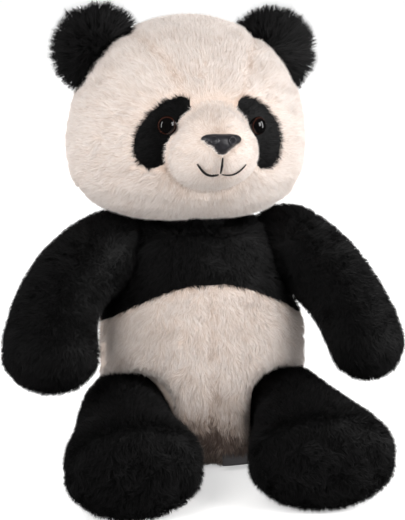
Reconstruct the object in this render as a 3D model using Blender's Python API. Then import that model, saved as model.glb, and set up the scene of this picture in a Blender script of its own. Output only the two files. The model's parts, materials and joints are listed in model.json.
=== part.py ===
"""Seated plush panda: sewn fabric panels over loose fill, with turning head, ears, arms and legs.

Frame: metres, +Z up, the panda faces -Y, its own left side is +X. The origin is on the floor,
in the middle of the flat seat panel.
"""

import math

import bmesh
import bpy
import numpy as np
from mathutils import Matrix, Vector

MM = 0.001
GOLDEN_TURN = 222.492  # degrees, spreads directions evenly over a ball

# ---- driving dimensions (mm) ----
CLOTH = 3.0  # pile fabric backing plus the root of the pile
SEAM = 0.5  # half of the gap left at a seam line
FILL_GAP = 1.3  # between the fabric and the fill inside it

HEAD_CENTRE = (-9.3, 0.0, 235.5)
HEAD_RADII = (78.0, 68.0, 68.0)
HEAD_TAPER = 0.05  # narrower above, wider at the jowls, as a share of the half width
HEAD_YAW = 7.6  # degrees towards the panda's left at rest
HEAD_ROLL = 3.0  # degrees, right ear higher
HEAD_LOW_SIDE_POWER = 3.0  # squarer jowls seen from the front
HEAD_LOW_FRONT_POWER = 2.25
HEAD_TOP_POWER = 2.0
NECK_PIVOT = (-5.0, 2.0, 170.0)
NECK_BALL = 20.0
NECK_GAP = 2.2  # round the ball, so that its facets turn freely
NECK_HOLE = 31.0
HEAD_SIDE_SEAM = 96.0  # longitude of the seam between cheek and back, degrees
SEAM_ROUTE = (  # longitude and latitude of the seam from bridge to nape, degrees
    (12.0, 0.0), (15.5, 14.0), (22.0, 29.0), (36.0, 43.0), (62.0, 51.0),
    (98.0, 53.0), (130.0, 45.0), (153.0, 29.0), (168.0, 14.0), (177.0, 6.0),
)
CROWN_END = 0.985  # share of the seam route the gusset covers

MUZZLE_CENTRE = (-0.2, -51.0, -7.8)  # head frame
MUZZLE_RADII = (31.5, 34.0, 31.2)
MUZZLE_TAPER = 0.10  # narrower above, wider below, as a share of the half width
NOSE_AT = (1.3, 12.6)  # longitude and latitude on the muzzle, degrees
NOSE_HALF = (13.8, 6.4)
NOSE_RISE = 4.6
NOSE_EDGE = 1.2  # height of the nose at its rim
NOSE_STEM = 2.0
NOSE_WASHER = (2.5, 7.6, -5.0, -6.2)  # hole and outer radius, near and far face
NOSTRIL_AT = (11.0, -4.0)  # from the middle of the nose, degrees
NOSTRIL_RADII = (2.0, 2.0, 1.7)
MOUTH_LOW = -25.2  # latitude on the muzzle where the middle line ends, degrees
MOUTH_LON = 1.3  # longitude of the middle line, degrees
MOUTH_REACH = {"right": 25.0, "left": 33.0}  # longitude to the ends of the smile, degrees
MOUTH_LIFT = {"right": 12.5, "left": 13.5}  # how far the ends of the smile rise, degrees
THREAD_RADIUS = 0.6
THREAD_RISE = 1.1
MUZZLE_WRAP = 104.0  # longitude on the muzzle where its fabric ends, degrees

EYE_AT = (29.5, 5.5)  # head frame, sideways and up
EYE_RADIUS = 5.6
EYE_STEM = 1.6
EYE_PROUD = 1.85  # where the clear dome starts, above the fabric
EYE_DOME = 3.6
EYE_WASHER = (2.0, 7.0, -4.4, -5.5)  # hole and outer radius, near and far face
EYE_CLEAR = 0.8
PATCH_AT = (31.8, 1.4)
PATCH_HALF = (25.6, 12.4)
PATCH_TILT = 62.0

EAR_AT = (61.0, 13.0, 43.8)  # head frame, middle of the ear
EAR_HALF = (27.3, 27.8, 9.0)
EAR_LEAN = 37.0  # outward from straight up, degrees
EAR_GAP = 2.9  # room for the ear to flex
EAR_CLOTH = 2.4
EAR_RIM = 0.9962  # the two faces stop just short of the ear's middle plane

TORSO_STATIONS = (  # height, half width, half depth, middle y
    (0.0, 44.0, 38.0, -2.0),
    (3.0, 52.0, 47.0, -2.5),
    (12.0, 60.5, 54.5, -3.0),
    (30.0, 66.0, 59.0, -4.0),
    (58.0, 68.0, 61.0, -4.5),
    (84.0, 67.5, 58.5, -3.5),
    (108.0, 64.0, 52.0, -1.5),
    (128.0, 58.0, 45.5, 0.5),
    (145.0, 52.0, 40.0, 2.0),
    (157.0, 45.0, 34.0, 2.0),
    (163.5, 34.0, 26.0, 2.0),
)
TORSO_POWER = 2.15
YOKE_FRONT_Z = 129.5
YOKE_SIDE_Z = 96.0
SEAT_HALF = (39.5, 33.5)
POUCH_AT = (0.0, 18.0, 29.0)
POUCH_RADII = (27.0, 19.0, 17.0)
LABEL_LOW = 4.0  # heights of the label's ends
LABEL_HIGH = 15.0
LABEL_LON = 14.0
LABEL_HALF_LON = 8.0

SHOULDER = (61.0, 2.0, 143.5)
SHOULDER_BALL = 14.0
LEFT_ELBOW = (33.0, -32.0, -12.0)  # from the shoulder, control point of the bend
LEFT_WRIST = (42.5, -70.0, -52.0)
RIGHT_ELBOW = (48.0, -34.0, -9.0)
RIGHT_WRIST = (48.5, -76.0, -50.0)
LEFT_ARM_RADII = (25.5, 23.5, 21.8, 22.0)
RIGHT_ARM_RADII = (25.5, 23.5, 21.3, 21.8)
LEFT_ARM_WIDTHS = (1.0, 1.0, 1.02, 1.05)
RIGHT_ARM_WIDTHS = (1.0, 1.05, 1.19, 1.33)
ARM_SWING = (-25.0, 50.0)
ARM_RAISE = (-8.0, 45.0)

HIP = (55.5, -20.0, 35.0)
HIP_BALL = 14.5
KNEE = (8.0, -52.0, 0.0)  # from the hip, control point of the bend
ANKLE = (5.5, -108.0, 0.0)
LEG_RADII = (25.0, 26.5, 27.5, 31.8)
LEFT_LEG_WIDTHS = (0.96, 1.04, 1.34, 1.46)
RIGHT_LEG_WIDTHS = (1.02, 1.1, 1.18, 1.36)
SOLE_TIP = 15.0
SOLE_RADIUS = 24.0
LEG_RAISE = (-10.0, 18.0)
LEG_SPLAY = (-6.0, 12.0)
SWEEP_GROW = 2.8  # room left round a limb's travel
SWEEP_WAYS = 96  # support directions of the cutter round it
LIMB_OPEN = 0.012  # share of a limb left open where it meets its ball, and at its tip
LIMB_SHUT = 0.985


# ---- looks ----
def look(name, colour, rough, sheen=0.0, clear=0.0):
    mat = bpy.data.materials.new(name)
    mat.use_nodes = True
    shader = mat.node_tree.nodes["Principled BSDF"]
    shader.inputs["Base Color"].default_value = (*colour, 1.0)
    shader.inputs["Roughness"].default_value = rough
    shader.inputs["Sheen Weight"].default_value = sheen
    shader.inputs["Transmission Weight"].default_value = clear
    mat.diffuse_color = (*colour, 1.0)
    return mat


def make_looks():
    return {
        "cream": look("cream_plush", (0.80, 0.70, 0.62), 0.95, 0.5),
        "black": look("black_plush", (0.012, 0.011, 0.012), 0.9, 0.4),
        "fill": look("polyester_fill", (0.86, 0.86, 0.84), 0.95),
        "pouch": look("pellet_pouch_cloth", (0.62, 0.60, 0.56), 0.9),
        "lens": look("eye_lens_clear", (0.05, 0.025, 0.015), 0.05, 0.0, 0.3),
        "back": look("eye_back_black", (0.010, 0.008, 0.008), 0.3),
        "washer": look("washer_white_plastic", (0.80, 0.80, 0.78), 0.45),
        "nose": look("nose_satin_black", (0.022, 0.020, 0.022), 0.35),
        "thread": look("mouth_thread_black", (0.010, 0.009, 0.009), 0.7),
        "label": look("label_satin_grey", (0.62, 0.62, 0.62), 0.6),
    }


# ---- small maths ----
def smooth_table(stations, steps):
    """Catmull-Rom through rows of numbers, evaluated at fractions 0..1 of the row index."""
    rows = np.array(stations, float)
    last = len(rows) - 1
    where = np.clip(np.asarray(steps, float), 0.0, 1.0) * last
    k = np.minimum(where.astype(int), last - 1)
    t = (where - k)[..., None]
    p0 = rows[np.maximum(k - 1, 0)]
    p1 = rows[k]
    p2 = rows[k + 1]
    p3 = rows[np.minimum(k + 2, last)]
    return 0.5 * (2 * p1 + (p2 - p0) * t + (2 * p0 - 5 * p1 + 4 * p2 - p3) * t**2
                  + (3 * p1 - p0 - 3 * p2 + p3) * t**3)


def unit(v):
    v = np.asarray(v, float)
    return v / np.maximum(np.linalg.norm(v, axis=-1, keepdims=True), 1e-12)


def rotation(axis, degrees):
    return np.array(Matrix.Rotation(math.radians(degrees), 3, Vector(axis)))


def head_spin():
    return rotation((0, 0, 1), HEAD_YAW) @ rotation((0, 1, 0), HEAD_ROLL)


def from_head(local):
    """A point or points of the head's own frame, placed in the world."""
    return np.asarray(local, float) @ head_spin().T + np.array(HEAD_CENTRE)


def directions(lon, lat):
    """Unit directions in a frame that faces -Y; lon grows towards +X, lat towards +Z; degrees."""
    lon, lat = np.radians(lon), np.radians(lat)
    return np.stack([np.sin(lon) * np.cos(lat), -np.cos(lon) * np.cos(lat), np.sin(lat)], -1)


# ---- forms: a surface point for two parameters, and a point inside it ----
class Form:
    def point(self, u, v):
        raise NotImplementedError

    def core(self, u, v):
        raise NotImplementedError

    def at(self, u, v, offset):
        u, v = np.broadcast_arrays(np.asarray(u, float), np.asarray(v, float))
        h = 1e-3
        p = self.point(u, v)
        du = self.point(u + h, v) - self.point(u - h, v)
        dv = self.point(u, v + h) - self.point(u, v - h)
        n = unit(np.cross(du, dv))
        inward = np.sum(n * (p - self.core(u, v)), -1) < 0
        n = np.where(inward[..., None], -n, n)
        return p + n * np.asarray(offset, float)[..., None]


class Head(Form):
    """A ball-like head, squarer below its middle. Parameters: longitude and latitude, degrees."""

    def radial(self, d):
        half = HEAD_RADII[0] * (1.0 - HEAD_TAPER * np.tanh((d[..., 2] + 0.15) / 0.35))
        side = np.abs(d[..., 0]) / half
        deep = np.abs(d[..., 1]) / HEAD_RADII[1]
        tall = np.abs(d[..., 2]) / HEAD_RADII[2]
        flat = np.maximum(np.hypot(d[..., 0], d[..., 1]), 1e-9)
        sideways = (d[..., 0] / flat) ** 2
        low = HEAD_LOW_FRONT_POWER + (HEAD_LOW_SIDE_POWER - HEAD_LOW_FRONT_POWER) * sideways
        blend = 0.5 - 0.5 * np.tanh((d[..., 2] + 0.05) / 0.12)
        power = HEAD_TOP_POWER + (low - HEAD_TOP_POWER) * blend
        ring = np.hypot(side, deep)
        return (ring**power + tall**power) ** (-1.0 / power)

    def along(self, d):
        return from_head(d * self.radial(d)[..., None])

    def point(self, u, v):
        return self.along(directions(u, v))

    def core(self, u, v):
        return np.array(HEAD_CENTRE) + 0 * self.point(u, v)


class HeadFront(Head):
    """The same head by sideways and up distance, seen from its own front, mm."""

    def point(self, u, v):
        lo = np.zeros_like(u)
        hi = np.full_like(u, 1.4 * HEAD_RADII[1])
        for _ in range(26):
            mid = 0.5 * (lo + hi)
            q = np.stack([u, -mid, v], -1)
            inside = np.linalg.norm(q, axis=-1) < self.radial(unit(q))
            lo = np.where(inside, mid, lo)
            hi = np.where(inside, hi, mid)
        return from_head(np.stack([u, -0.5 * (lo + hi), v], -1))


class Muzzle(Form):
    """Egg-shaped snout on the head. Parameters: longitude and latitude about its middle."""

    def point(self, u, v):
        d = directions(u, v)
        across = 1.0 - MUZZLE_TAPER * np.tanh(d[..., 2:] / 0.5) * np.array((1.0, 0.0, 0.0))
        return from_head(d * across * np.array(MUZZLE_RADII) + np.array(MUZZLE_CENTRE))

    def core(self, u, v):
        return from_head(MUZZLE_CENTRE) + 0 * self.point(u, v)


class Ear(Form):
    """One face of a flat round ear. Parameters: across and up from its middle, mm."""

    def __init__(self, side, face):
        self.face = face
        self.spin = head_spin() @ rotation((0, 1, 0), side * EAR_LEAN)
        self.middle = from_head((side * EAR_AT[0], EAR_AT[1], EAR_AT[2]))

    def point(self, u, v):
        flat = (u / EAR_HALF[0]) ** 2 + (v / EAR_HALF[1]) ** 2
        bulge = EAR_HALF[2] * np.sqrt(np.maximum(1.0 - flat, 0.0))
        return np.stack([u, -self.face * bulge, v], -1) @ self.spin.T + self.middle

    def core(self, u, v):
        return self.middle + 0 * self.point(u, v)


class Torso(Form):
    """Pear-shaped body. Parameters: longitude in degrees and a 0..1 way up the stations."""

    def point(self, u, v):
        row = smooth_table(TORSO_STATIONS, v)
        a = np.radians(u)
        c = np.sign(np.cos(a)) * np.abs(np.cos(a)) ** (2.0 / TORSO_POWER)
        s = np.sign(np.sin(a)) * np.abs(np.sin(a)) ** (2.0 / TORSO_POWER)
        return np.stack([row[..., 1] * s, row[..., 3] - row[..., 2] * c, row[..., 0]], -1)

    def core(self, u, v):
        row = smooth_table(TORSO_STATIONS, np.clip(v, 0.12, 0.86))
        return np.stack([0 * u, row[..., 3], row[..., 0]], -1)


class Limb(Form):
    """Round-ended tube on a bent axis. Parameters: angle round it and a 0..1 way along it."""

    def __init__(self, start, bend, end, radii, tip, tip_radius, widths=(1.0, 1.0, 1.0, 1.0)):
        self.start, self.bend, self.end = (np.array(p, float) for p in (start, bend, end))
        self.first = unit(self.bend)
        self.last = unit(self.end - self.bend)
        self.run = np.linalg.norm(self.end)
        self.radii, self.tip, self.tip_radius, self.widths = radii, tip, tip_radius, widths

    def middle(self, a):
        t = np.clip(a / self.run, 0.0, 1.0)[..., None]
        curve = 2 * t * (1 - t) * self.bend + t**2 * self.end
        before = np.minimum(a, 0.0)[..., None] * self.first
        after = np.maximum(a - self.run, 0.0)[..., None] * self.last
        return self.start + curve + before + after

    def heading(self, a):
        t = np.clip(a / self.run, 0.0, 1.0)[..., None]
        return unit((1 - t) * self.bend + t * (self.end - self.bend))

    def profile(self, v):
        """Distance along the axis and radius: a ball end, the tube, then a rounded tip."""
        ball = np.radians(20 + 70 * np.clip(v / 0.2, 0, 1))
        a1, r1 = -self.radii[0] * np.cos(ball), self.radii[0] * np.sin(ball)
        t = np.clip((v - 0.2) / 0.55, 0, 1)
        a2 = self.run * t
        r2 = smooth_table([[r] for r in self.radii], t)[..., 0]
        psi = np.radians(90 * np.clip((v - 0.75) / 0.25, 0, 1.0))
        core_r = self.radii[-1] - self.tip_radius
        a3 = self.run + self.tip * np.sin(psi)
        r3 = core_r + self.tip_radius * np.cos(psi)
        along = np.where(v < 0.2, a1, np.where(v < 0.75, a2, a3))
        radius = np.where(v < 0.2, r1, np.where(v < 0.75, r2, r3))
        return along, radius

    def point(self, u, v):
        along, radius = self.profile(v)
        head = self.heading(along)
        e1 = unit(np.cross(head, np.array((0.0, 0.0, 1.0))))
        e2 = np.cross(e1, head)
        a = np.radians(u)[..., None]
        wide = smooth_table([[w] for w in self.widths], np.clip(along / self.run, 0.0, 1.0))
        ring = np.cos(a) * wide * e1 + np.sin(a) * e2
        return self.middle(along) + radius[..., None] * ring

    def core(self, u, v):
        along, _ = self.profile(v)
        return self.middle(np.clip(along, 0.0, self.run)) + 0 * self.point(u, v)


# ---- meshes ----
def add_mesh(name, points, faces, mat, parent=None):
    mesh = bpy.data.meshes.new(name)
    mesh.from_pydata([tuple(p) for p in np.asarray(points) * MM], [], faces)
    work = bmesh.new()
    work.from_mesh(mesh)
    bmesh.ops.recalc_face_normals(work, faces=work.faces)
    work.to_mesh(mesh)
    work.free()
    mesh.update()
    obj = bpy.data.objects.new(name, mesh)
    bpy.context.scene.collection.objects.link(obj)
    if mat is not None:
        mesh.materials.append(mat)
    if parent is not None:
        obj.parent = parent
        obj.matrix_parent_inverse = parent.matrix_world.inverted()
    return obj


def sheet(name, form, u, v, mat, top=0.0, bottom=-CLOTH, parent=None):
    """A cloth panel: a grid of surface parameters given a thickness, closed at its edges."""
    u, v = np.broadcast_arrays(np.asarray(u, float), np.asarray(v, float))
    rows, cols = u.shape
    outer = form.at(u, v, np.broadcast_to(np.asarray(top, float), u.shape))
    inner = form.at(u, v, np.full(u.shape, bottom))
    points = np.concatenate([outer.reshape(-1, 3), inner.reshape(-1, 3)])
    half = rows * cols
    faces = []
    for i in range(rows - 1):
        for j in range(cols - 1):
            q = (i * cols + j, i * cols + j + 1, (i + 1) * cols + j + 1, (i + 1) * cols + j)
            faces.append(q)
            faces.append(tuple(k + half for k in reversed(q)))
    rim = list(range(cols))
    rim += [i * cols + cols - 1 for i in range(1, rows)]
    rim += [(rows - 1) * cols + j for j in range(cols - 2, -1, -1)]
    rim += [i * cols for i in range(rows - 2, 0, -1)]
    for a, b in zip(rim, rim[1:] + rim[:1]):
        faces.append((a, b, b + half, a + half))
    return add_mesh(name, points, faces, mat, parent)


def plate(name, form, middle, edge, mat, rings=4, top=None, bottom=-CLOTH, parent=None,
          bunch=False):
    """A round-edged patch: rings of parameters from a middle point out to a closed edge."""
    edge = np.asarray(edge, float)
    count = len(edge)
    share = np.linspace(0.0, 1.0, rings + 1)[1:]
    if bunch:
        share = np.sin(0.5 * math.pi * share)
    grid = np.array(middle) + share[:, None, None] * (edge - np.array(middle))
    rise = np.zeros(rings + 1) if top is None else top(np.concatenate([[0.0], share]))
    u = np.concatenate([[middle[0]], grid[..., 0].ravel()])
    v = np.concatenate([[middle[1]], grid[..., 1].ravel()])
    height = np.concatenate([[rise[0]], np.repeat(rise[1:], count)])
    points = np.concatenate([form.at(u, v, height), form.at(u, v, np.full(len(u), bottom))])
    half = len(u)
    faces = []
    for j in range(count):
        k = (j + 1) % count
        faces.append((0, 1 + j, 1 + k))
        faces.append((half, half + 1 + k, half + 1 + j))
        for r in range(rings - 1):
            a, b = 1 + r * count, 1 + (r + 1) * count
            faces.append((a + j, b + j, b + k, a + k))
            faces.append((half + a + k, half + b + k, half + b + j, half + a + j))
        a = 1 + (rings - 1) * count
        faces.append((a + j, half + a + j, half + a + k, a + k))
    return add_mesh(name, points, faces, mat, parent)


def solid(name, form, u, v, offset, mat, parent=None):
    """A closed lump: rings of points round the form, with both ends closed by fans."""
    rows = []
    for way in v:
        rows.append(form.at(np.asarray(u, float), np.full(len(u), way), np.full(len(u), offset)))
    return stack(name, rows, mat, parent)


def stack(name, rows, mat, parent=None):
    count = len(rows[0])
    points = np.concatenate([rows[0].mean(0)[None], *rows, rows[-1].mean(0)[None]])
    last = len(points) - 1
    faces = []
    for j in range(count):
        k = (j + 1) % count
        faces.append((0, 1 + k, 1 + j))
        for r in range(len(rows) - 1):
            a, b = 1 + r * count, 1 + (r + 1) * count
            faces.append((a + j, a + k, b + k, b + j))
        a = 1 + (len(rows) - 1) * count
        faces.append((last, a + j, a + k))
    return add_mesh(name, points, faces, mat, parent)


def ellipsoid(name, centre, radii, mat=None, spin=None, parent=None, around=16, tall=8):
    lat = np.linspace(-90, 90, tall + 1)[1:-1]
    lon = np.arange(around) * 360.0 / around
    rows = []
    for way in lat:
        local = directions(lon, np.full(around, way)) * np.array(radii)
        if spin is not None:
            local = local @ spin.T
        rows.append(local + np.array(centre))
    return stack(name, rows, mat, parent)


def turned_rows(base, axis, profile, around=16):
    """Circles of points for (along, radius) pairs about an axis through a base point."""
    axis = unit(axis)
    e1 = unit(np.cross(axis, (0.3, 0.2, 1.0)))
    e2 = np.cross(axis, e1)
    a = np.arange(around) * 2 * math.pi / around
    circle = np.cos(a)[:, None] * e1 + np.sin(a)[:, None] * e2
    return [np.array(base) + along * axis + radius * circle for along, radius in profile]


def lathe(name, base, axis, profile, mat=None, parent=None):
    return stack(name, turned_rows(base, axis, profile), mat, parent)


def washer(name, base, axis, sizes, mat, parent):
    """Flat ring: hole radius, outer radius, near face and far face along the axis."""
    hole, outer, near, far = sizes
    profile = [(near, hole), (near, outer), (far, outer), (far, hole)]
    points = np.concatenate(turned_rows(base, axis, profile))
    around = len(points) // len(profile)
    faces = []
    for r in range(len(profile)):
        n = (r + 1) % len(profile)
        for j in range(around):
            k = (j + 1) % around
            faces.append((r * around + j, r * around + k, n * around + k, n * around + j))
    return add_mesh(name, points, faces, mat, parent)


def tube(name, path, radius, mat, parent=None, around=6):
    """Thread along a path of points, with blunt ends."""
    path = np.asarray(path, float)
    heading = unit(np.gradient(path, axis=0))
    side = unit(np.cross(heading, (0.13, -1.0, 0.21)))
    over = np.cross(heading, side)
    a = np.arange(around) * 2 * math.pi / around
    rows = []
    for p, s, o in zip(path, side, over):
        rows.append(p + radius * (np.cos(a)[:, None] * s + np.sin(a)[:, None] * o))
    return stack(name, rows, mat, parent)


def hull(name, points):
    mesh = bpy.data.meshes.new(name)
    work = bmesh.new()
    for p in points:
        work.verts.new(tuple(np.asarray(p) * MM))
    made = bmesh.ops.convex_hull(work, input=work.verts)
    spare = {v for v in made["geom_interior"] if isinstance(v, bmesh.types.BMVert)}
    spare |= {v for v in made["geom_unused"] if isinstance(v, bmesh.types.BMVert)}
    bmesh.ops.delete(work, geom=list(spare), context="VERTS")
    bmesh.ops.recalc_face_normals(work, faces=work.faces)
    work.to_mesh(mesh)
    work.free()
    obj = bpy.data.objects.new(name, mesh)
    bpy.context.scene.collection.objects.link(obj)
    return obj


def as_cutter(obj):
    obj.hide_render = True
    obj.display_type = "WIRE"
    return obj


def boolean(obj, cutter, operation="DIFFERENCE"):
    mod = obj.modifiers.new(operation.lower() + "_" + cutter.name, "BOOLEAN")
    mod.operation = operation
    mod.solver = "EXACT"
    mod.object = cutter


def cut(obj, *cutters):
    for cutter in cutters:
        boolean(obj, cutter)


def pivot(name, place):
    obj = bpy.data.objects.new(name, None)
    obj.empty_display_size = 0.02
    obj.location = tuple(np.array(place) * MM)
    bpy.context.scene.collection.objects.link(obj)
    bpy.context.view_layer.update()
    return obj


def seam_shift(form, u, v, gap, across):
    """How far a parameter moves so that a panel edge steps back by a gap, mm."""
    h = 1e-2
    if across == "u":
        step = form.point(u + h, v) - form.point(u - h, v)
    else:
        step = form.point(u, v + h) - form.point(u, v - h)
    return gap / np.maximum(np.linalg.norm(step, axis=-1) / (2 * h), 1e-6)


# ---- head ----
def crown_route(side, s):
    row = smooth_table(SEAM_ROUTE, s)
    return directions(side * row[..., 0], row[..., 1])


class Crown(Head):
    """The head across the gusset. Parameters: -1..1 across it and 0..1 from bridge to nape."""

    def point(self, u, v):
        a, b = crown_route(-1.0, v), crown_route(1.0, v)
        t = 0.5 * (u + 1.0)
        span = np.arccos(np.clip(np.sum(a * b, -1), -1, 1))
        low, high = np.sin((1 - t) * span), np.sin(t * span)
        return self.along((low[..., None] * a + high[..., None] * b) / np.sin(span)[..., None])


def seam_latitude(lon):
    """Latitude of the gusset seam at a longitude on one side."""
    s = np.linspace(0, 1, 200)
    row = smooth_table(SEAM_ROUTE, s)
    return np.interp(lon, row[:, 0], row[:, 1])


def neck_latitude(lon):
    """Latitude where the head's fabric ends round the neck opening."""
    head = Head()
    lat = np.linspace(-88.0, -30.0, 120)
    grid_lon, grid_lat = np.meshgrid(lon, lat)
    here = head.point(grid_lon, grid_lat)
    reach = np.hypot(here[..., 0] - NECK_PIVOT[0], here[..., 1] - NECK_PIVOT[1])
    return np.array([np.interp(NECK_HOLE, reach[:, k], lat) for k in range(len(lon))])


def side_panel(name, side, lon0, lon1, looks, parent):
    head = Head()
    lon = np.linspace(lon0, lon1, 12)
    low = neck_latitude(side * lon)
    high = seam_latitude(np.clip(lon, SEAM_ROUTE[0][0], SEAM_ROUTE[-1][0]))
    high = high + seam_shift(head, side * lon, high, 3.0, "v")
    share = np.linspace(0.0, 1.0, 10)
    lat = low + share[:, None] * (high - low)
    inset = seam_shift(head, side * np.array([lon0, lon1])[None, :], lat[:, [0, -1]], SEAM, "u")
    frac = np.linspace(0.0, 1.0, 12)
    grid = (lon0 + inset[:, :1]) * (1 - frac) + (lon1 - inset[:, 1:]) * frac
    return sheet(name, head, side * grid, lat, looks["cream"], parent=parent)


def crown_grid(end, grow):
    form = Crown()
    s = np.linspace(0.0, end, 16)[:, None]
    step = seam_shift(form, np.full_like(s, 0.9), np.clip(s, 0.02, 0.98), SEAM, "u")
    return form, np.linspace(-1.0, 1.0, 9)[None, :] * (1.0 + grow * step), s


def crown_panel(looks, parent):
    form, w, s = crown_grid(CROWN_END, -1.0)
    return sheet("head_crown", form, w, s + 0 * w, looks["cream"], parent=parent)


def crown_cut():
    """The gusset's own room between the side panels."""
    form, w, s = crown_grid(1.0, 1.0)
    return as_cutter(sheet("cut_crown", form, w, s + 0 * w, None, top=6.0, bottom=-9.0))


def patch_edge(side, grow=0.0, count=24):
    """Bean outline of an eye patch, sideways and up from the face's middle, mm."""
    a = np.arange(count) * 2 * math.pi / count
    along = (PATCH_HALF[0] + grow) * np.cos(a)
    wide = (PATCH_HALF[1] + grow) * np.sin(a) * (1.0 - 0.16 * np.cos(a))
    wide = wide - 2.2 * (np.cos(a) ** 2 - 0.4)
    tilt = math.radians(PATCH_TILT)
    x = PATCH_AT[0] - along * math.cos(tilt) + wide * math.sin(tilt)
    z = PATCH_AT[1] + along * math.sin(tilt) + wide * math.cos(tilt)
    return np.stack([side * x, z], -1)


def eye_frame(side):
    face = HeadFront()
    here = face.at(np.array(side * EYE_AT[0]), np.array(EYE_AT[1]), np.array(0.0))
    out = face.at(np.array(side * EYE_AT[0]), np.array(EYE_AT[1]), np.array(1.0)) - here
    return here, unit(out)


def eye_parts(side, tag, looks, parent):
    here, out = eye_frame(side)
    dome = [(EYE_PROUD + EYE_DOME * math.sin(t), (EYE_RADIUS - 0.8) * math.cos(t))
            for t in np.linspace(0.0, 1.35, 5)]
    lathe(f"eye_lens_{tag}", here, out, [(EYE_PROUD, 0.9), *dome], looks["lens"], parent)
    body = [(-10.0, EYE_STEM), (0.4, EYE_STEM), (0.4, EYE_RADIUS - 0.3), (0.9, EYE_RADIUS),
            (2.0, EYE_RADIUS), (2.3, EYE_RADIUS - 0.4), (1.4, EYE_RADIUS - 0.45), (1.4, 0.5)]
    lathe(f"eye_back_{tag}", here, out, body, looks["back"], parent)
    washer(f"eye_washer_{tag}", here, out, EYE_WASHER, looks["washer"], parent)


def eye_patches(side, tag, looks, parent, cheek, crown, muzzle_cut):
    face = HeadFront()
    middle = (side * PATCH_AT[0], PATCH_AT[1])
    patch = plate(f"eye_patch_{tag}", face, middle, patch_edge(side), looks["black"], rings=3,
                  top=lambda s: 0.0 * s, parent=parent)
    gap = as_cutter(plate(f"cut_patch_{tag}", face, middle, patch_edge(side, 2 * SEAM), None, 2,
                          top=lambda s: 0.0 * s + 6.0, bottom=-9.0))
    here, out = eye_frame(side)
    stem = as_cutter(lathe(f"cut_stem_{tag}", here, out, [(-12, 2.2), (6, 2.2)]))
    cut(patch, muzzle_cut, stem)
    cut(cheek, gap)
    cut(crown, gap)


def muzzle_parts(looks, parent, stem_hole, washer_room):
    form = Muzzle()
    clears = []
    for side, tag in ((-1, "right"), (1, "left")):
        lat = np.linspace(-84.0, 84.0, 13)[:, None]
        inset = seam_shift(form, 0.0 * lat, lat, SEAM, "u")
        lon = inset + np.linspace(0.0, 1.0, 9)[None, :] * (MUZZLE_WRAP - inset)
        half = sheet(f"muzzle_{tag}", form, side * lon, lat + 0 * lon, looks["cream"],
                     parent=parent)
        here, out = eye_frame(side)
        wide, slim = EYE_WASHER[1] + EYE_CLEAR, EYE_RADIUS + EYE_CLEAR
        clear = as_cutter(lathe(f"cut_eye_clear_{tag}", here, out,
                                [(-12, wide), (-2, wide), (-2, slim), (7, slim)]))
        clears.append(clear)
        cut(half, stem_hole, clear)
    fill = solid("muzzle_fill", form, np.arange(16) * 22.5, np.linspace(-80, 80, 9),
                 -(CLOTH + 1.5 * FILL_GAP), looks["fill"], parent)
    cut(fill, washer_room, *clears)
    return as_cutter(solid("cut_muzzle", form, np.arange(28) * 360.0 / 28,
                           np.linspace(-82, 82, 15), 2.4 * SEAM, None))


def nose_frame():
    form = Muzzle()
    lon, lat = (np.array(v) for v in NOSE_AT)
    here = form.at(lon, lat, np.array(0.0))
    return here, unit(form.at(lon, lat, np.array(1.0)) - here)


def nose_cutters():
    """Room for the nose's stem in the fabric, and for stem and washer in the fill."""
    here, out = nose_frame()
    slim, wide = NOSE_STEM + 0.6, NOSE_WASHER[1] + 1.0
    stem_hole = as_cutter(lathe("cut_nose_stem", here, out, [(-14, slim), (6, slim)]))
    washer_room = as_cutter(lathe("cut_nose_pocket", here, out, [(-13, wide), (4, wide)]))
    return stem_hole, washer_room


def nose_edge(count=24):
    """Soft triangle, wide at the top, in muzzle longitude and latitude."""
    a = np.arange(count) * 2 * math.pi / count
    x = NOSE_HALF[0] * np.cos(a) * (1.0 + 0.22 * np.sin(a))
    z = NOSE_HALF[1] * (np.sin(a) + 0.18 * np.cos(2 * a))
    lat = NOSE_AT[1] + np.degrees(z / MUZZLE_RADII[2])
    lon = NOSE_AT[0] + np.degrees(x / (MUZZLE_RADII[0] * np.cos(np.radians(lat))))
    return np.stack([lon, lat], -1)


def nose_parts(looks, parent):
    form = Muzzle()
    here, out = nose_frame()
    nose = plate("nose", form, NOSE_AT, nose_edge(), looks["nose"], rings=4, bottom=0.5,
                 top=lambda s: NOSE_EDGE + NOSE_RISE * np.sqrt(np.maximum(1 - s**2.6, 0)),
                 parent=parent)
    stem = as_cutter(lathe("add_nose_stem", here, out, [(-11, NOSE_STEM), (2.5, NOSE_STEM)]))
    boolean(nose, stem, "UNION")
    for side, tag in ((-1, "right"), (1, "left")):
        low = form.at(np.array(NOSE_AT[0] + side * NOSTRIL_AT[0]),
                      np.array(NOSE_AT[1] + NOSTRIL_AT[1]), np.array(NOSE_RISE + 1.6))
        cut(nose, as_cutter(ellipsoid(f"cut_nostril_{tag}", low, NOSTRIL_RADII)))
    washer("nose_washer", here, out, NOSE_WASHER, looks["washer"], parent)


def mouth_parts(looks, parent):
    form = Muzzle()
    lat = np.linspace(NOSE_AT[1] - 18.5, MOUTH_LOW + 2.5, 7)
    line = form.at(0.0 * lat + MOUTH_LON, lat, 0 * lat + THREAD_RISE)
    tube("mouth_line_centre", line, THREAD_RADIUS, looks["thread"], parent)
    for side, tag in ((-1, "right"), (1, "left")):
        t = np.linspace(0.0, 1.0, 9)
        lon = MOUTH_LON + side * (1.5 + MOUTH_REACH[tag] * t)
        lat = MOUTH_LOW - 3.2 * np.sin(math.pi * t) + MOUTH_LIFT[tag] * t**2.6
        line = form.at(lon, lat, 0 * t + THREAD_RISE)
        tube(f"mouth_line_{tag}", line, THREAD_RADIUS, looks["thread"], parent)


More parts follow.
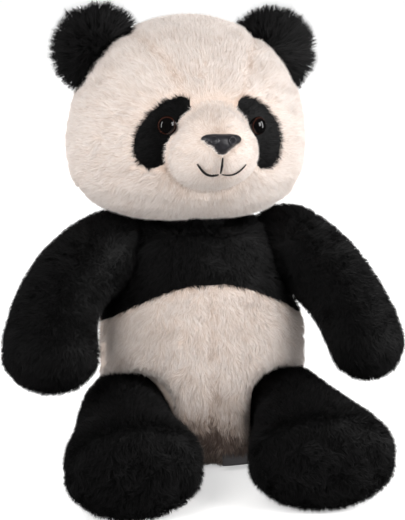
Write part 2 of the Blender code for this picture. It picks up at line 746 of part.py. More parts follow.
def ear_parts(side, tag, looks, parent):
    base_cut = as_cutter(solid(f"cut_ear_{tag}", Head(), np.arange(32) * 11.25,
                               np.linspace(-60, 88, 16), EAR_GAP, None))
    a = np.arange(22) * 2 * math.pi / 22
    rim = EAR_RIM * np.stack([EAR_HALF[0] * np.sin(a), EAR_HALF[1] * np.cos(a)], -1)
    for half, face in (("front", 1.0), ("back", -1.0)):
        form = Ear(side, face)
        panel = plate(f"ear_{half}_{tag}", form, (0.0, 0.0), rim, looks["black"], rings=5,
                      bottom=-EAR_CLOTH, parent=parent, bunch=True)
        cut(panel, base_cut)


def head_fill(looks, parent, cutters):
    fill = solid("head_fill", Head(), np.arange(24) * 15.0, np.linspace(-84, 84, 13),
                 -(CLOTH + 2 * FILL_GAP), looks["fill"], parent)
    cut(fill, *cutters)


def build_head(looks, neck):
    head = pivot("pivot_head_nod", NECK_PIVOT)
    head.parent = neck
    head.matrix_parent_inverse = neck.matrix_world.inverted()
    bpy.context.view_layer.update()
    socket = as_cutter(ellipsoid("cut_neck_head", NECK_PIVOT, (NECK_BALL + NECK_GAP,) * 3))
    stem_hole, washer_room = nose_cutters()
    muzzle_cut = muzzle_parts(looks, head, stem_hole, washer_room)
    crown = crown_panel(looks, head)
    cut(crown, muzzle_cut)
    room = crown_cut()
    pockets = [socket, muzzle_cut]
    for side, tag in ((-1, "right"), (1, "left")):
        cheek = side_panel(f"head_cheek_{tag}", side, 0.0, HEAD_SIDE_SEAM, looks, head)
        back = side_panel(f"head_back_{tag}", side, HEAD_SIDE_SEAM, 180.0, looks, head)
        eye_patches(side, tag, looks, head, cheek, crown, muzzle_cut)
        cut(cheek, muzzle_cut, room)
        cut(back, socket, room)
        eye_parts(side, tag, looks, head)
        here, out = eye_frame(side)
        room_radius = EYE_WASHER[1] + 1.2
        pockets.append(as_cutter(lathe(f"cut_eye_pocket_{tag}", here, out,
                                       [(-12, room_radius), (6, room_radius)])))
    head_fill(looks, head, pockets)
    nose_parts(looks, head)
    mouth_parts(looks, head)
    for side, tag in ((-1, "right"), (1, "left")):
        here = ear_hinge(side)
        ear = pivot(f"pivot_ear_{tag}", here)
        ear.parent = head
        ear.matrix_parent_inverse = head.matrix_world.inverted()
        bpy.context.view_layer.update()
        ear_parts(side, tag, looks, ear)


def ear_hinge(side):
    """The point where the ear's middle line meets the head."""
    form = Ear(side, 1.0)
    head = Head()
    path = form.middle - np.linspace(0.0, 40.0, 400)[:, None] * form.spin[:, 2]
    local = (path - np.array(HEAD_CENTRE)) @ head_spin()
    depth = np.linalg.norm(local, axis=-1) - head.radial(unit(local))
    return path[int(np.argmin(np.abs(depth)))]


# ---- torso ----
def torso_way(z):
    """The 0..1 way up the torso stations at a height."""
    way = np.linspace(0, 1, 400)
    return np.interp(z, smooth_table(TORSO_STATIONS, way)[:, 0], way)


def yoke_height(lon):
    """Height of the seam under the black yoke at a longitude, degrees."""
    lift = np.abs(np.cos(np.radians(lon))) ** 1.4
    return YOKE_SIDE_Z + (YOKE_FRONT_Z - YOKE_SIDE_Z) * lift


def torso_panel(name, lon0, lon1, low, high, mat, cutters, nu=10, nv=12):
    form = Torso()
    lon = np.linspace(lon0, lon1, nu)
    bottom = low(lon)
    top = high(lon)
    share = np.linspace(0.0, 1.0, nv)[:, None]
    way = bottom + share * (top - bottom)
    edge = np.array([[lon0, lon1]], float)
    inset = seam_shift(form, edge, way[:, [0, -1]], SEAM, "u") * np.sign(lon1 - lon0)
    frac = np.linspace(0.0, 1.0, nu)[None, :]
    grid = (lon0 + inset[:, :1]) * (1 - frac) + (lon1 - inset[:, 1:]) * frac
    panel = sheet(name, form, grid, way, mat)
    cut(panel, *cutters)
    return panel


def build_torso(looks, limb_cuts):
    form = Torso()
    hem = torso_way(1.0)
    neck = torso_way(163.0)

    def lower(lon):
        return 0 * lon + hem

    def upper(lon):
        return 0 * lon + neck

    def seam(shift):
        return lambda lon: torso_way(yoke_height(lon) + shift)

    near = ("front", -92.0, 92.0), ("back", 92.0, 268.0)
    for tag, a, b in near:
        torso_panel(f"chest_{tag}", a, b, seam(SEAM), upper, looks["black"], limb_cuts, 19, 7)
    torso_panel("belly_left", 0.0, 92.0, lower, seam(-SEAM), looks["cream"], limb_cuts)
    torso_panel("belly_right", -92.0, 0.0, lower, seam(-SEAM), looks["cream"], limb_cuts)
    torso_panel("back_left", 92.0, 180.0, lower, seam(-SEAM), looks["cream"], limb_cuts)
    torso_panel("back_right", 180.0, 268.0, lower, seam(-SEAM), looks["cream"], limb_cuts)
    a = np.arange(36) * 10.0
    rim = np.stack([SEAT_HALF[0] * np.sin(np.radians(a)),
                    TORSO_STATIONS[0][3] - SEAT_HALF[1] * np.cos(np.radians(a))], -1)
    low = np.column_stack([rim, 0 * a])
    high = np.column_stack([rim, 0 * a + CLOTH])
    seat = stack("seat_panel", [low, high], looks["cream"])
    cut(seat, *[c for c in limb_cuts if "leg" in c.name])
    fill = solid("torso_fill", form, np.arange(24) * 15.0,
                 np.linspace(torso_way(4.6), torso_way(162.0), 12), -(CLOTH + FILL_GAP),
                 looks["fill"])
    ellipsoid("pellet_pouch", POUCH_AT, POUCH_RADII, looks["pouch"])
    grown = tuple(r + FILL_GAP for r in POUCH_RADII)
    nest = as_cutter(ellipsoid("cut_pouch", POUCH_AT, grown))
    mouth = as_cutter(lathe("cut_pouch_mouth", POUCH_AT, (0, 0, -1), [(0, 12), (40, 12)]))
    socket = as_cutter(ellipsoid("cut_neck_torso", NECK_PIVOT, (NECK_BALL + NECK_GAP,) * 3))
    cut(fill, nest, mouth, socket, *limb_cuts)
    care_label(form, looks)


def care_label(form, looks):
    """Blank sewn-in label on the underside of the belly, beside the middle seam."""
    t = np.arange(24) * 2 * math.pi / 24
    c = np.sign(np.cos(t)) * np.abs(np.cos(t)) ** 0.3
    s = np.sign(np.sin(t)) * np.abs(np.sin(t)) ** 0.3
    low, high = torso_way(LABEL_LOW), torso_way(LABEL_HIGH)
    middle = (LABEL_LON, 0.5 * (low + high))
    edge = np.stack([middle[0] + LABEL_HALF_LON * c, middle[1] + 0.5 * (high - low) * s], -1)
    plate("care_label", form, middle, edge, looks["label"], rings=2,
          top=lambda q: 0 * q + 1.4, bottom=0.6)


# ---- limbs ----
def mirrored(point, side):
    return (side * point[0], point[1], point[2])


def arm_form(side):
    if side > 0:
        bend, wrist, radii, widths = LEFT_ELBOW, LEFT_WRIST, LEFT_ARM_RADII, LEFT_ARM_WIDTHS
    else:
        bend, wrist, radii, widths = RIGHT_ELBOW, RIGHT_WRIST, RIGHT_ARM_RADII, RIGHT_ARM_WIDTHS
    return Limb(mirrored(SHOULDER, side), mirrored(bend, side), mirrored(wrist, side), radii,
                radii[-1], radii[-1], widths)


def leg_form(side):
    return Limb(mirrored(HIP, side), mirrored(KNEE, side), mirrored(ANKLE, side), LEG_RADII,
                SOLE_TIP, LEG_RADII[-1] - SOLE_RADIUS,
                LEFT_LEG_WIDTHS if side > 0 else RIGHT_LEG_WIDTHS)


def swept(name, form, axes, limits, reach):
    """Convex cutter round every corner of a limb's travel."""
    ways = np.linspace(0.0, reach, 7)
    ring = np.arange(16) * 22.5
    u, v = np.meshgrid(ring, ways)
    base = form.at(u, v, np.full(u.shape, SWEEP_GROW)).reshape(-1, 3)
    ball = directions(*np.meshgrid(ring, np.linspace(-75, 75, 7))).reshape(-1, 3)
    base = np.concatenate([base, form.start + ball * (form.radii[0] + SWEEP_GROW)])
    moved = []
    for first in (*limits[0], 0.0):
        for second in (*limits[1], 0.0):
            spin = rotation(axes[0], first) @ rotation(axes[1], second)
            moved.append((base - form.start) @ spin.T + form.start)
    moved = np.concatenate(moved)
    k = np.arange(SWEEP_WAYS) + 0.5
    lat = np.degrees(np.arcsin(1 - 2 * k / SWEEP_WAYS))
    far = {int(np.argmax(moved @ way)) for way in directions(GOLDEN_TURN * k, lat)}
    return as_cutter(hull(name, moved[sorted(far)]))


def arm_axes(side):
    """Swing lifts the arm forward; raise lifts it out to the side."""
    return (-1.0, 0.0, 0.0), (0.0, -side * 1.0, 0.0)


def leg_axes(side):
    """Raise lifts the foot; splay turns it outward."""
    return (-1.0, 0.0, 0.0), (0.0, 0.0, side * 1.0)


def limb_half(name, form, start, stop, mat, parent):
    way = np.linspace(LIMB_OPEN, LIMB_SHUT, 11)[:, None]
    mid = 0.5 * (start + stop)
    inset = seam_shift(form, np.full_like(way, mid), way, SEAM, "u")
    inset = np.minimum(inset, 0.3 * (stop - start))
    frac = np.linspace(0.0, 1.0, 8)[None, :]
    u = (start + inset) * (1 - frac) + (stop - inset) * frac
    return sheet(name, form, u, way + 0 * u, mat, parent=parent)


def limb_fill(name, form, v0, v1, mat, parent, holes):
    fill = solid(name, form, np.arange(16) * 360.0 / 16, np.linspace(v0, v1, 19),
                 -(CLOTH + 2.2 * FILL_GAP), mat, parent)
    cut(fill, *holes)


def ball_nest(tag, place, heading, radius):
    nest = as_cutter(ellipsoid(f"cut_nest_{tag}", place, (radius + FILL_GAP,) * 3))
    mouth = as_cutter(lathe(f"cut_mouth_{tag}", place, -np.array(heading),
                            [(0, 0.5 * radius), (60, 0.5 * radius)]))
    return nest, mouth


def build_arm(side, tag, looks):
    form = arm_form(side)
    outer = pivot(f"pivot_arm_swing_{tag}", form.start)
    inner = pivot(f"pivot_arm_raise_{tag}", form.start)
    inner.parent = outer
    inner.matrix_parent_inverse = outer.matrix_world.inverted()
    bpy.context.view_layer.update()
    ellipsoid(f"shoulder_fill_{tag}", form.start, (SHOULDER_BALL,) * 3, looks["fill"],
              parent=outer)
    limb_half(f"arm_outer_{tag}", form, -20.0, 160.0, looks["black"], inner)
    limb_half(f"arm_inner_{tag}", form, 160.0, 340.0, looks["black"], inner)
    holes = ball_nest(f"arm_{tag}", form.start, form.first, SHOULDER_BALL)
    limb_fill(f"arm_fill_{tag}", form, 0.03, 0.95, looks["fill"], inner, holes)


def build_leg(side, tag, looks):
    form = leg_form(side)
    outer = pivot(f"pivot_leg_raise_{tag}", form.start)
    inner = pivot(f"pivot_leg_splay_{tag}", form.start)
    inner.parent = outer
    inner.matrix_parent_inverse = outer.matrix_world.inverted()
    bpy.context.view_layer.update()
    ellipsoid(f"hip_fill_{tag}", form.start, (HIP_BALL,) * 3, looks["fill"], parent=outer)
    limb_half(f"leg_top_{tag}", form, 0.0, 180.0, looks["black"], inner)
    limb_half(f"leg_under_{tag}", form, 180.0, 360.0, looks["black"], inner)
    sole(form, tag, looks, inner)
    holes = ball_nest(f"leg_{tag}", form.start, form.first, HIP_BALL)
    limb_fill(f"leg_fill_{tag}", form, 0.03, 0.97, looks["fill"], inner, holes)


def sole(form, tag, looks, parent):
    """Oval sole panel that closes the foot, slightly domed."""
    a = np.arange(28) * 2 * math.pi / 28
    across = unit(np.cross(form.last, (0.0, 0.0, 1.0)))
    over = np.cross(across, form.last)
    radius = SOLE_RADIUS - 2 * SEAM
    middle = form.start + form.end + SOLE_TIP * form.last
    rows = []
    for along, share in ((-CLOTH, 1.0), (-0.3, 1.0), (0.5, 0.8), (0.9, 0.5), (1.1, 0.2)):
        wide = radius * share * form.widths[-1] * np.cos(a)[:, None] * across
        rows.append(middle + along * form.last + wide
                    + radius * share * np.sin(a)[:, None] * over)
    stack(f"foot_sole_{tag}", rows, looks["black"], parent)


def main():
    for obj in list(bpy.data.objects):
        bpy.data.objects.remove(obj)
    looks = make_looks()
    limb_cuts = []
    for side, tag in ((-1, "right"), (1, "left")):
        limb_cuts.append(swept(f"cut_arm_{tag}", arm_form(side), arm_axes(side),
                               (ARM_SWING, ARM_RAISE), 0.45))
        limb_cuts.append(swept(f"cut_leg_{tag}", leg_form(side), leg_axes(side),
                               (LEG_RAISE, LEG_SPLAY), 0.55))
    build_torso(looks, limb_cuts)
    neck = pivot("pivot_head_turn", NECK_PIVOT)
    ellipsoid("neck_fill", NECK_PIVOT, (NECK_BALL,) * 3, looks["fill"], parent=neck)
    build_head(looks, neck)
    for side, tag in ((-1, "right"), (1, "left")):
        build_arm(side, tag, looks)
        build_leg(side, tag, looks)


main()
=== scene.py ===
"""Looks for the seated plush panda: sewn pile fabric, safety eyes, moulded nose, studio light."""

import json
import math

import bmesh
import bpy
import numpy as np
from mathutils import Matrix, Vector
from mathutils.bvhtree import BVHTree
from mathutils.kdtree import KDTree


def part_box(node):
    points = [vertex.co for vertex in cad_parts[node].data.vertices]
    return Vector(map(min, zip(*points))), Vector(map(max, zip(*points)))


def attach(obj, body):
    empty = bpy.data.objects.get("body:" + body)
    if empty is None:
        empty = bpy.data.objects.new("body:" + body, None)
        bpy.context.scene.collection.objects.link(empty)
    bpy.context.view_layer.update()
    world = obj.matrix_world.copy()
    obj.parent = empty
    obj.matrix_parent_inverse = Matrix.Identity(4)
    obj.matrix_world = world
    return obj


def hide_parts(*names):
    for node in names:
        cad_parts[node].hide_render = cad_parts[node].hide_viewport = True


MM = 0.001
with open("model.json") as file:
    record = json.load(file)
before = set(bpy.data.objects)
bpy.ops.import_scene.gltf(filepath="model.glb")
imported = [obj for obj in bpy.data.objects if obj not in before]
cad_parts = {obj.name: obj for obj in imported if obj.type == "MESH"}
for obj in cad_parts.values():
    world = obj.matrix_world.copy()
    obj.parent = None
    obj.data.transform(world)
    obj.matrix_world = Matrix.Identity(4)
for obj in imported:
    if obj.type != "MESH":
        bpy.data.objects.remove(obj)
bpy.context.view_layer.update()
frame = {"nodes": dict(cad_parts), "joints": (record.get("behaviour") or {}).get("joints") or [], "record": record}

RECORD = frame["record"]
BODIES = RECORD["behaviour"]["bodies"]
SLOT = {part["node"]: part["material_slot"] for part in RECORD["subparts"]}
HINGE = {joint["child"]: np.array(joint["pos_m"]) for joint in frame["joints"]}
PILE_SLOTS = ("cream_plush", "black_plush")
SIDES = ("left", "right")
rng = np.random.default_rng(11)

# ---- padded skins ----
SWELL = 1.5 * MM  # closes the seam gaps while the skin is made
HIDDEN_BODIES = ("neck", "shoulder", "hip")  # stuffed joints, covered in the black pile
VOXEL = {  # remesh size for each kind of body
    "neck": 3.0 * MM, "shoulder": 3.0 * MM, "hip": 3.0 * MM, "head": 2.9 * MM,
    "torso": 4.0 * MM, "ear": 2.6 * MM, "arm": 3.6 * MM, "leg": 3.8 * MM,
}
FILL_INSET = 1.0 * MM  # stuffing drawn this far inside its solid, clear of the skins
TORSO_FILL_INSET = 3.0 * MM
PUFF_FRAMES = 20
PUFF_CAP = 1.3 * MM
SEAM_DEPTH = 1.3 * MM
SEAM_WIDTH = 2.6 * MM
HEAD_SEAM_SHARE = 0.6  # the head's seams are shallower
SNOUT_GROOVE = 2.6  # how much deeper the seam round the muzzle is
CHIN_FADE = 12 * MM  # the head's seams fade out this far above its lowest point
REACH = 3.0 * MM  # skin farther than this from every panel carries no pile
SMOOTHINGS = 4
SKIN_RISE = {  # skin height over the panels: everywhere, and added where it faces sideways
    "neck": (0.3 * MM, 0.0), "shoulder": (0.3 * MM, 0.0), "hip": (0.3 * MM, 0.0),
    "head": (0.5 * MM, 2.2 * MM), "torso": (0.8 * MM, 2.4 * MM), "ear": (0.6 * MM, 0.0),
    "arm": (1.9 * MM, 0.0), "leg": (1.7 * MM, 0.0),
}
UPWARD = 0.35  # skin whose normal points up more than this has no sideways rise
CHIN_DROP = 1.2 * MM  # less rise where the head faces down

# ---- pile ----
COATS = {  # length and width (mm), strands per mm2, lay from the normal (degrees), clumping, stray
    "head": (5.2, 0.32, 3.6, 56, 0.18, 0.14),
    "muzzle": (3.2, 0.28, 4.8, 60, 0.14, 0.12),
    "patch": (4.8, 0.42, 2.4, 44, 0.40, 0.28),
    "belly": (5.6, 0.36, 2.8, 56, 0.22, 0.16),
    "yoke": (5.6, 0.42, 2.0, 48, 0.34, 0.26),
    "limb": (5.6, 0.42, 2.1, 46, 0.34, 0.28),
    "sole": (5.4, 0.44, 2.2, 40, 0.40, 0.30),
    "ear": (11.5, 0.52, 2.0, 28, 0.55, 0.34),
    "fold": (6.0, 0.55, 1.2, 40, 0.40, 0.30),
}
COAT_OF_PANEL = {  # by the first word of the panel's name
    "neck": "fold", "shoulder": "fold", "hip": "fold", "muzzle": "muzzle", "head": "head",
    "eye": "patch", "belly": "belly", "back": "belly", "seat": "belly", "chest": "yoke",
    "ear": "ear", "foot": "sole", "arm": "limb", "leg": "limb",
}


def coat_of(node):
    return COAT_OF_PANEL[node.split("_")[0]]


# ---- small maths ----
def unit(v):
    v = np.asarray(v, float)
    return v / np.maximum(np.linalg.norm(v, axis=-1, keepdims=True), 1e-12)


def body_kind(body):
    return body.split("_")[0]


def centre(node):
    low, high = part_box(node)
    return np.array((low + high) / 2)


def smooth_step(x, low, high):
    t = np.clip((np.asarray(x, float) - low) / (high - low), 0.0, 1.0)
    return t * t * (3 - 2 * t)


def wave_noise(points, wavelength, seed, count=14):
    """Smooth random value about -1..1 at each point."""
    local = np.random.default_rng(seed)
    ways = unit(local.normal(size=(count, 3)))
    pace = 2 * math.pi / (wavelength * local.uniform(0.6, 1.6, count))
    phase = local.uniform(0, 2 * math.pi, count)
    return np.sin(points @ (ways * pace[:, None]).T + phase).sum(-1) / math.sqrt(count / 2)


def vector_noise(points, wavelength, seed):
    return np.stack([wave_noise(points, wavelength, seed + k) for k in range(3)], -1)


# ---- meshes ----
def mesh_arrays(mesh):
    points = np.empty(len(mesh.vertices) * 3, np.float32)
    mesh.vertices.foreach_get("co", points)
    mesh.calc_loop_triangles()
    tris = np.empty(len(mesh.loop_triangles) * 3, np.int32)
    mesh.loop_triangles.foreach_get("vertices", tris)
    return points.reshape(-1, 3).astype(float), tris.reshape(-1, 3)


def vertex_normals(mesh):
    normals = np.empty(len(mesh.vertices) * 3, np.float32)
    mesh.vertex_normals.foreach_get("vector", normals)
    return normals.reshape(-1, 3).astype(float)


def new_object(name, mesh):
    obj = bpy.data.objects.new(name, mesh)
    bpy.context.scene.collection.objects.link(obj)
    return obj


def tri_mesh(name, points, tris):
    mesh = bpy.data.meshes.new(name)
    mesh.vertices.add(len(points))
    mesh.vertices.foreach_set("co", np.asarray(points, np.float32).ravel())
    mesh.loops.add(tris.size)
    mesh.loops.foreach_set("vertex_index", np.asarray(tris, np.int32).ravel())
    mesh.polygons.add(len(tris))
    mesh.polygons.foreach_set("loop_start", np.arange(0, tris.size, 3, dtype=np.int32))
    mesh.update(calc_edges=True)
    mesh.shade_smooth()
    return mesh


def evaluated_mesh(obj):
    graph = bpy.context.evaluated_depsgraph_get()
    return bpy.data.meshes.new_from_object(obj.evaluated_get(graph), depsgraph=graph)


def apply_modifiers(obj):
    mesh = evaluated_mesh(obj)
    obj.modifiers.clear()
    old, obj.data = obj.data, mesh
    bpy.data.meshes.remove(old)


def keep_largest(work):
    """Drops every closed part of the mesh but the one with the largest box."""
    left, groups = set(work.verts), []
    while left:
        todo, group = [left.pop()], []
        while todo:
            v = todo.pop()
            group.append(v)
            beside = {e.other_vert(v) for e in v.link_edges} & left
            left -= beside
            todo.extend(beside)
        groups.append(group)
    groups.sort(key=lambda group: np.linalg.norm(np.ptp([v.co for v in group], axis=0)))
    for group in groups[:-1]:
        bmesh.ops.delete(work, geom=group, context="VERTS")


def fused_skin(name, nodes, voxel):
    """One closed skin round a body's panels and stuffing, at the panels' outer face."""
    work = bmesh.new()
    for node in nodes:
        work.from_mesh(frame["nodes"][node].data)
    bmesh.ops.remove_doubles(work, verts=work.verts, dist=1e-6)
    work.normal_update()
    for v in work.verts:
        v.co += v.normal * SWELL
    mesh = bpy.data.meshes.new(name)
    work.to_mesh(mesh)
    work.free()
    obj = new_object(name, mesh)
    remesh = obj.modifiers.new("fuse", "REMESH")
    remesh.mode = "VOXEL"
    remesh.voxel_size = voxel
    apply_modifiers(obj)
    work = bmesh.new()
    work.from_mesh(obj.data)
    keep_largest(work)
    for _ in range(SMOOTHINGS):
        bmesh.ops.smooth_vert(work, verts=work.verts, factor=0.5, use_axis_x=True,
                              use_axis_y=True, use_axis_z=True)
    work.to_mesh(obj.data)
    work.free()
    return obj


def settle(obj, near, kind):
    """Moves the skin along its normals until it lies a little outside the panels' faces."""
    outer = near.outer(obj.data)
    flat, sideways = SKIN_RISE[kind]
    facing = vertex_normals(obj.data)
    rise = flat + sideways * facing[:, 0] ** 2 * (facing[:, 2] < UPWARD)
    if kind == "head":
        rise = rise - CHIN_DROP * smooth_step(-facing[:, 2], 0.5, 0.95)
    for _ in range(2):
        points, _ = mesh_arrays(obj.data)
        normals = vertex_normals(obj.data)
        above = np.zeros(len(points))
        close = np.zeros(len(points), bool)
        for i, p in enumerate(points):
            place, normal, _, gap = outer.find_nearest(Vector(p))
            close[i] = gap < 2 * REACH
            above[i] = gap if (Vector(p) - place).dot(normal) > 0 else -gap
        drop = np.where(close, above, np.median(above[close])) - rise
        points = points - normals * spread_out(obj.data, drop)[:, None]
        obj.data.vertices.foreach_set("co", points.astype(np.float32).ravel())
        obj.data.update()


def spread_out(mesh, values, rounds=8):
    """Values on a mesh's points, evened out along its edges."""
    edges = np.empty(len(mesh.edges) * 2, np.int32)
    mesh.edges.foreach_get("vertices", edges)
    a, b = edges.reshape(-1, 2).T
    count = np.bincount(a, minlength=len(values)) + np.bincount(b, minlength=len(values))
    for _ in range(rounds):
        total = np.bincount(a, values[b], len(values)) + np.bincount(b, values[a], len(values))
        values = 0.5 * values + 0.5 * total / np.maximum(count, 1)
    return values


def point_tree(points):
    tree = KDTree(len(points))
    for i, p in enumerate(points):
        tree.insert(Vector(p), i)
    tree.balance()
    return tree


class Panels:
    """Distances to a body's fabric panels."""

    def __init__(self, nodes):
        self.nodes = nodes
        self.trees = []
        points, tris, owner = [], [], []
        base = 0
        for k, node in enumerate(nodes):
            p, t = mesh_arrays(frame["nodes"][node].data)
            self.trees.append(BVHTree.FromPolygons([Vector(v) for v in p], t.tolist()))
            points += [Vector(v) for v in p]
            tris += (t + base).tolist()
            owner += [k] * len(t)
            base += len(p)
        self.all = BVHTree.FromPolygons(points, tris)
        self.owner = owner
        self.points, self.tris = points, np.array(tris)

    def nearest(self, points):
        """Panel index and distance for each point."""
        index = np.zeros(len(points), np.int32)
        reach = np.zeros(len(points))
        for i, p in enumerate(points):
            _, _, face, gap = self.all.find_nearest(Vector(p))
            index[i] = self.owner[face]
            reach[i] = gap
        return index, reach

    def outer(self, mesh):
        """Search tree of the panel faces that look the same way as the skin beside them."""
        skin_points, _ = mesh_arrays(mesh)
        skin_normals = vertex_normals(mesh)
        tree = point_tree(skin_points)
        corners = np.array(self.points)[self.tris]
        facing = unit(np.cross(corners[:, 1] - corners[:, 0], corners[:, 2] - corners[:, 0]))
        beside = np.array([tree.find(Vector(m))[1] for m in corners.mean(1)])
        keep = np.sum(facing * skin_normals[beside], -1) > 0.4
        return BVHTree.FromPolygons(self.points, self.tris[keep].tolist())

    def distance(self, start, points):
        """Distance to the nearest panel whose name starts as asked."""
        trees = [t for t, n in zip(self.trees, self.nodes) if n.startswith(start)]
        if not trees:
            return np.full(len(points), 1.0)
        return np.array([min(t.find_nearest(Vector(p))[3] for t in trees) for p in points])

    def seam_distance(self, points):
        """How much nearer the nearest panel is than the next one, halved."""
        gaps = np.array([[tree.find_nearest(Vector(p))[3] for tree in self.trees]
                         for p in points])
        gaps.sort(axis=1)
        if gaps.shape[1] < 2:
            return np.full(len(points), 1.0)
        return 0.5 * (gaps[:, 1] - gaps[:, 0])


def add_cloth(obj, seam, reach):
    """Air pressure from inside, with the seams held."""
    group = obj.vertex_groups.new(name="sewn")
    hold = np.maximum(1 - smooth_step(seam, 0.5 * SEAM_WIDTH, 2 * SEAM_WIDTH),
                      smooth_step(reach, REACH, 2 * REACH))
    for i, weight in enumerate(hold):
        if weight > 0.01:
            group.add([i], float(weight), "REPLACE")
    mod = obj.modifiers.new("air", "CLOTH")
    cloth = mod.settings
    cloth.quality = 5
    cloth.mass = 0.2
    cloth.tension_stiffness = cloth.compression_stiffness = 12.0
    cloth.shear_stiffness = 6.0
    cloth.bending_stiffness = 1.0
    cloth.use_pressure = True
    cloth.uniform_pressure_force = 4.0
    cloth.effector_weights.gravity = 0.0
    cloth.vertex_group_mass = "sewn"
    mod.point_cache.frame_start = 1
    mod.point_cache.frame_end = PUFF_FRAMES


def make_skins():
    skins, before = {}, {}
    for body, nodes in BODIES.items():
        panels = [n for n in nodes if SLOT[n] in PILE_SLOTS]
        if body_kind(body) in HIDDEN_BODIES:
            panels = list(nodes)
        if not panels:
            continue
        solid = panels + [n for n in nodes if SLOT[n] in ("fill", "pouch_cloth")]
        obj = fused_skin("skin_" + body, solid, VOXEL[body_kind(body)])
        near = Panels(panels)
        settle(obj, near, body_kind(body))
        points, _ = mesh_arrays(obj.data)
        seam = near.seam_distance(points)
        _, reach = near.nearest(points)
        skins[body] = (obj, near)
        before[body] = (points, seam, reach)
        add_cloth(obj, seam, reach)
    for step in range(1, PUFF_FRAMES + 1):
        bpy.context.scene.frame_set(step)
    for body, (obj, near) in skins.items():
        points, seam, reach = before[body]
        after = points
        mesh = evaluated_mesh(obj)
        after = mesh_arrays(mesh)[0]
        bpy.data.meshes.remove(mesh)
        obj.modifiers.clear()
        move = after - points
        far = np.linalg.norm(move, axis=1, keepdims=True)
        points = points + move * np.minimum(1.0, PUFF_CAP / np.maximum(far, 1e-9))
        depth = SEAM_DEPTH * np.exp(-(seam / SEAM_WIDTH) ** 2)
        snout = near.distance("muzzle", points)
        depth = depth * (1 + SNOUT_GROOVE * np.exp(-(snout / SEAM_WIDTH) ** 2))
        if body == "head":
            low = points[:, 2].min() + CHIN_FADE
            depth = depth * HEAD_SEAM_SHARE * smooth_step(points[:, 2], low, NOSE[2] - CHIN_FADE)
        depth = depth * (1 - smooth_step(reach, 0.5 * REACH, REACH))
        points = points - vertex_normals(obj.data) * depth[:, None]
        obj.data.vertices.foreach_set("co", points.astype(np.float32).ravel())
        obj.data.update()
        layer = obj.data.attributes.new("seam", "FLOAT", "POINT")
        layer.data.foreach_set("value", seam.astype(np.float32))
        finer = obj.modifiers.new("finer", "SUBSURF")
        finer.levels = finer.render_levels = 1
        apply_modifiers(obj)
    bpy.context.scene.frame_set(1)
    return skins


# ---- landmarks ----
EYES = {tag: centre(f"eye_back_{tag}") for tag in SIDES}
LENSES = {tag: centre(f"eye_lens_{tag}") for tag in SIDES}
EYE_WAY = {tag: unit(LENSES[tag] - centre(f"eye_washer_{tag}")) for tag in SIDES}


def flat_way(node, near_way):
    """Direction square to a flat part, on the same side as a rough direction."""
    points, _ = mesh_arrays(frame["nodes"][node].data)
    way = np.linalg.svd(points - points.mean(0))[2][2]
    return way if way @ near_way > 0 else -way


NOSE_WAY = flat_way("nose_washer", centre("nose") - centre("muzzle_fill"))
NOSE_MESH, _ = mesh_arrays(frame["nodes"]["nose"].data)
NOSE_TIP = float(((NOSE_MESH - centre("nose_washer")) @ NOSE_WAY).max())
NOSE = centre("nose_washer") + NOSE_WAY * (NOSE_TIP - 3.0 * MM)
ACROSS = unit(LENSES["left"] - LENSES["right"])
NOSE_SIDE = unit(ACROSS - NOSE_WAY * (ACROSS @ NOSE_WAY))
NOSE_UP = np.cross(NOSE_WAY, NOSE_SIDE)
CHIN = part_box("head_cheek_left")[0].z
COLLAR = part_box("chest_front")[1].z - 5 * MM  # above this the neck opening carries pile too


def limb_tip(body):
    """The middle of the limb's far end."""
    points = np.concatenate([mesh_arrays(frame["nodes"][n].data)[0] for n in BODIES[body]])
    far = np.linalg.norm(points - HINGE[body], axis=1)
    return points[far > np.quantile(far, 0.9)].mean(0)


FRINGE_TURN = 2.2  # above 1 turns the pile beside the nose towards it
BEHIND_FACE = 60 * MM
BEHIND_DROOP = 0.8  # how far the pile behind the face turns down
TORSO_SPREAD = 0.15
LIMB_ROOT = 0.25  # the pile fans out from here, as a share of the way from joint to tip
LIMB_ALONG = 0.35
LIMB_DROOP = 0.35


def comb(body, node, points):
    """The way the pile lies at each point, before it is laid on the surface."""
    kind = body_kind(body)
    down = np.array((0.0, 0.0, -1.0))
    if kind == "head" and node.startswith("muzzle"):
        return unit(points - NOSE) * (1 - FRINGE_TURN * nose_fringe(points)[:, None])
    if kind == "head":
        behind = smooth_step(points[:, 1], 0.0, BEHIND_FACE)[:, None]
        return unit(points - NOSE) + BEHIND_DROOP * behind * down
    if kind == "torso":
        return down + TORSO_SPREAD * unit(points * np.array((1.0, 1.0, 0.0)))
    base = HINGE[body]
    if kind == "ear":
        return unit(points - base)
    tip = limb_tip(body)
    root = base + LIMB_ROOT * (tip - base)
    return unit(points - root) + LIMB_ALONG * unit(tip - base) + LIMB_DROOP * down


# ---- pile ----
def thread_points(node):
    """Middle line of a mouth thread, ordered along its longer side."""
    points, _ = mesh_arrays(frame["nodes"][node].data)
    low, high = points.min(0), points.max(0)
    axis = int(np.argmax((high - low)[[0, 2]])) * 2
    marks = np.linspace(low[axis], high[axis], 9)
    path = []
    for a, b in zip(marks[:-1], marks[1:]):
        inside = points[(points[:, axis] >= a - 0.3 * MM) & (points[:, axis] <= b + 0.3 * MM)]
        if len(inside):
            path.append(inside.mean(0))
    path = np.array(path)
    ends = 0.5 * (path[0] - path[1]), 0.5 * (path[-1] - path[-2])
    path = np.concatenate([[path[0] + ends[0]], path, [path[-1] + ends[1]]])
    return path if axis == 0 else path[::-1]


def resample(path, count):
    step = np.concatenate([[0.0], np.cumsum(np.linalg.norm(np.diff(path, axis=0), axis=1))])
    where = np.linspace(0, step[-1], count)
    return np.stack([np.interp(where, step, path[:, k]) for k in range(3)], -1)


MOUTH = {tag: thread_points(f"mouth_line_{tag}") for tag in ("centre", *SIDES)}


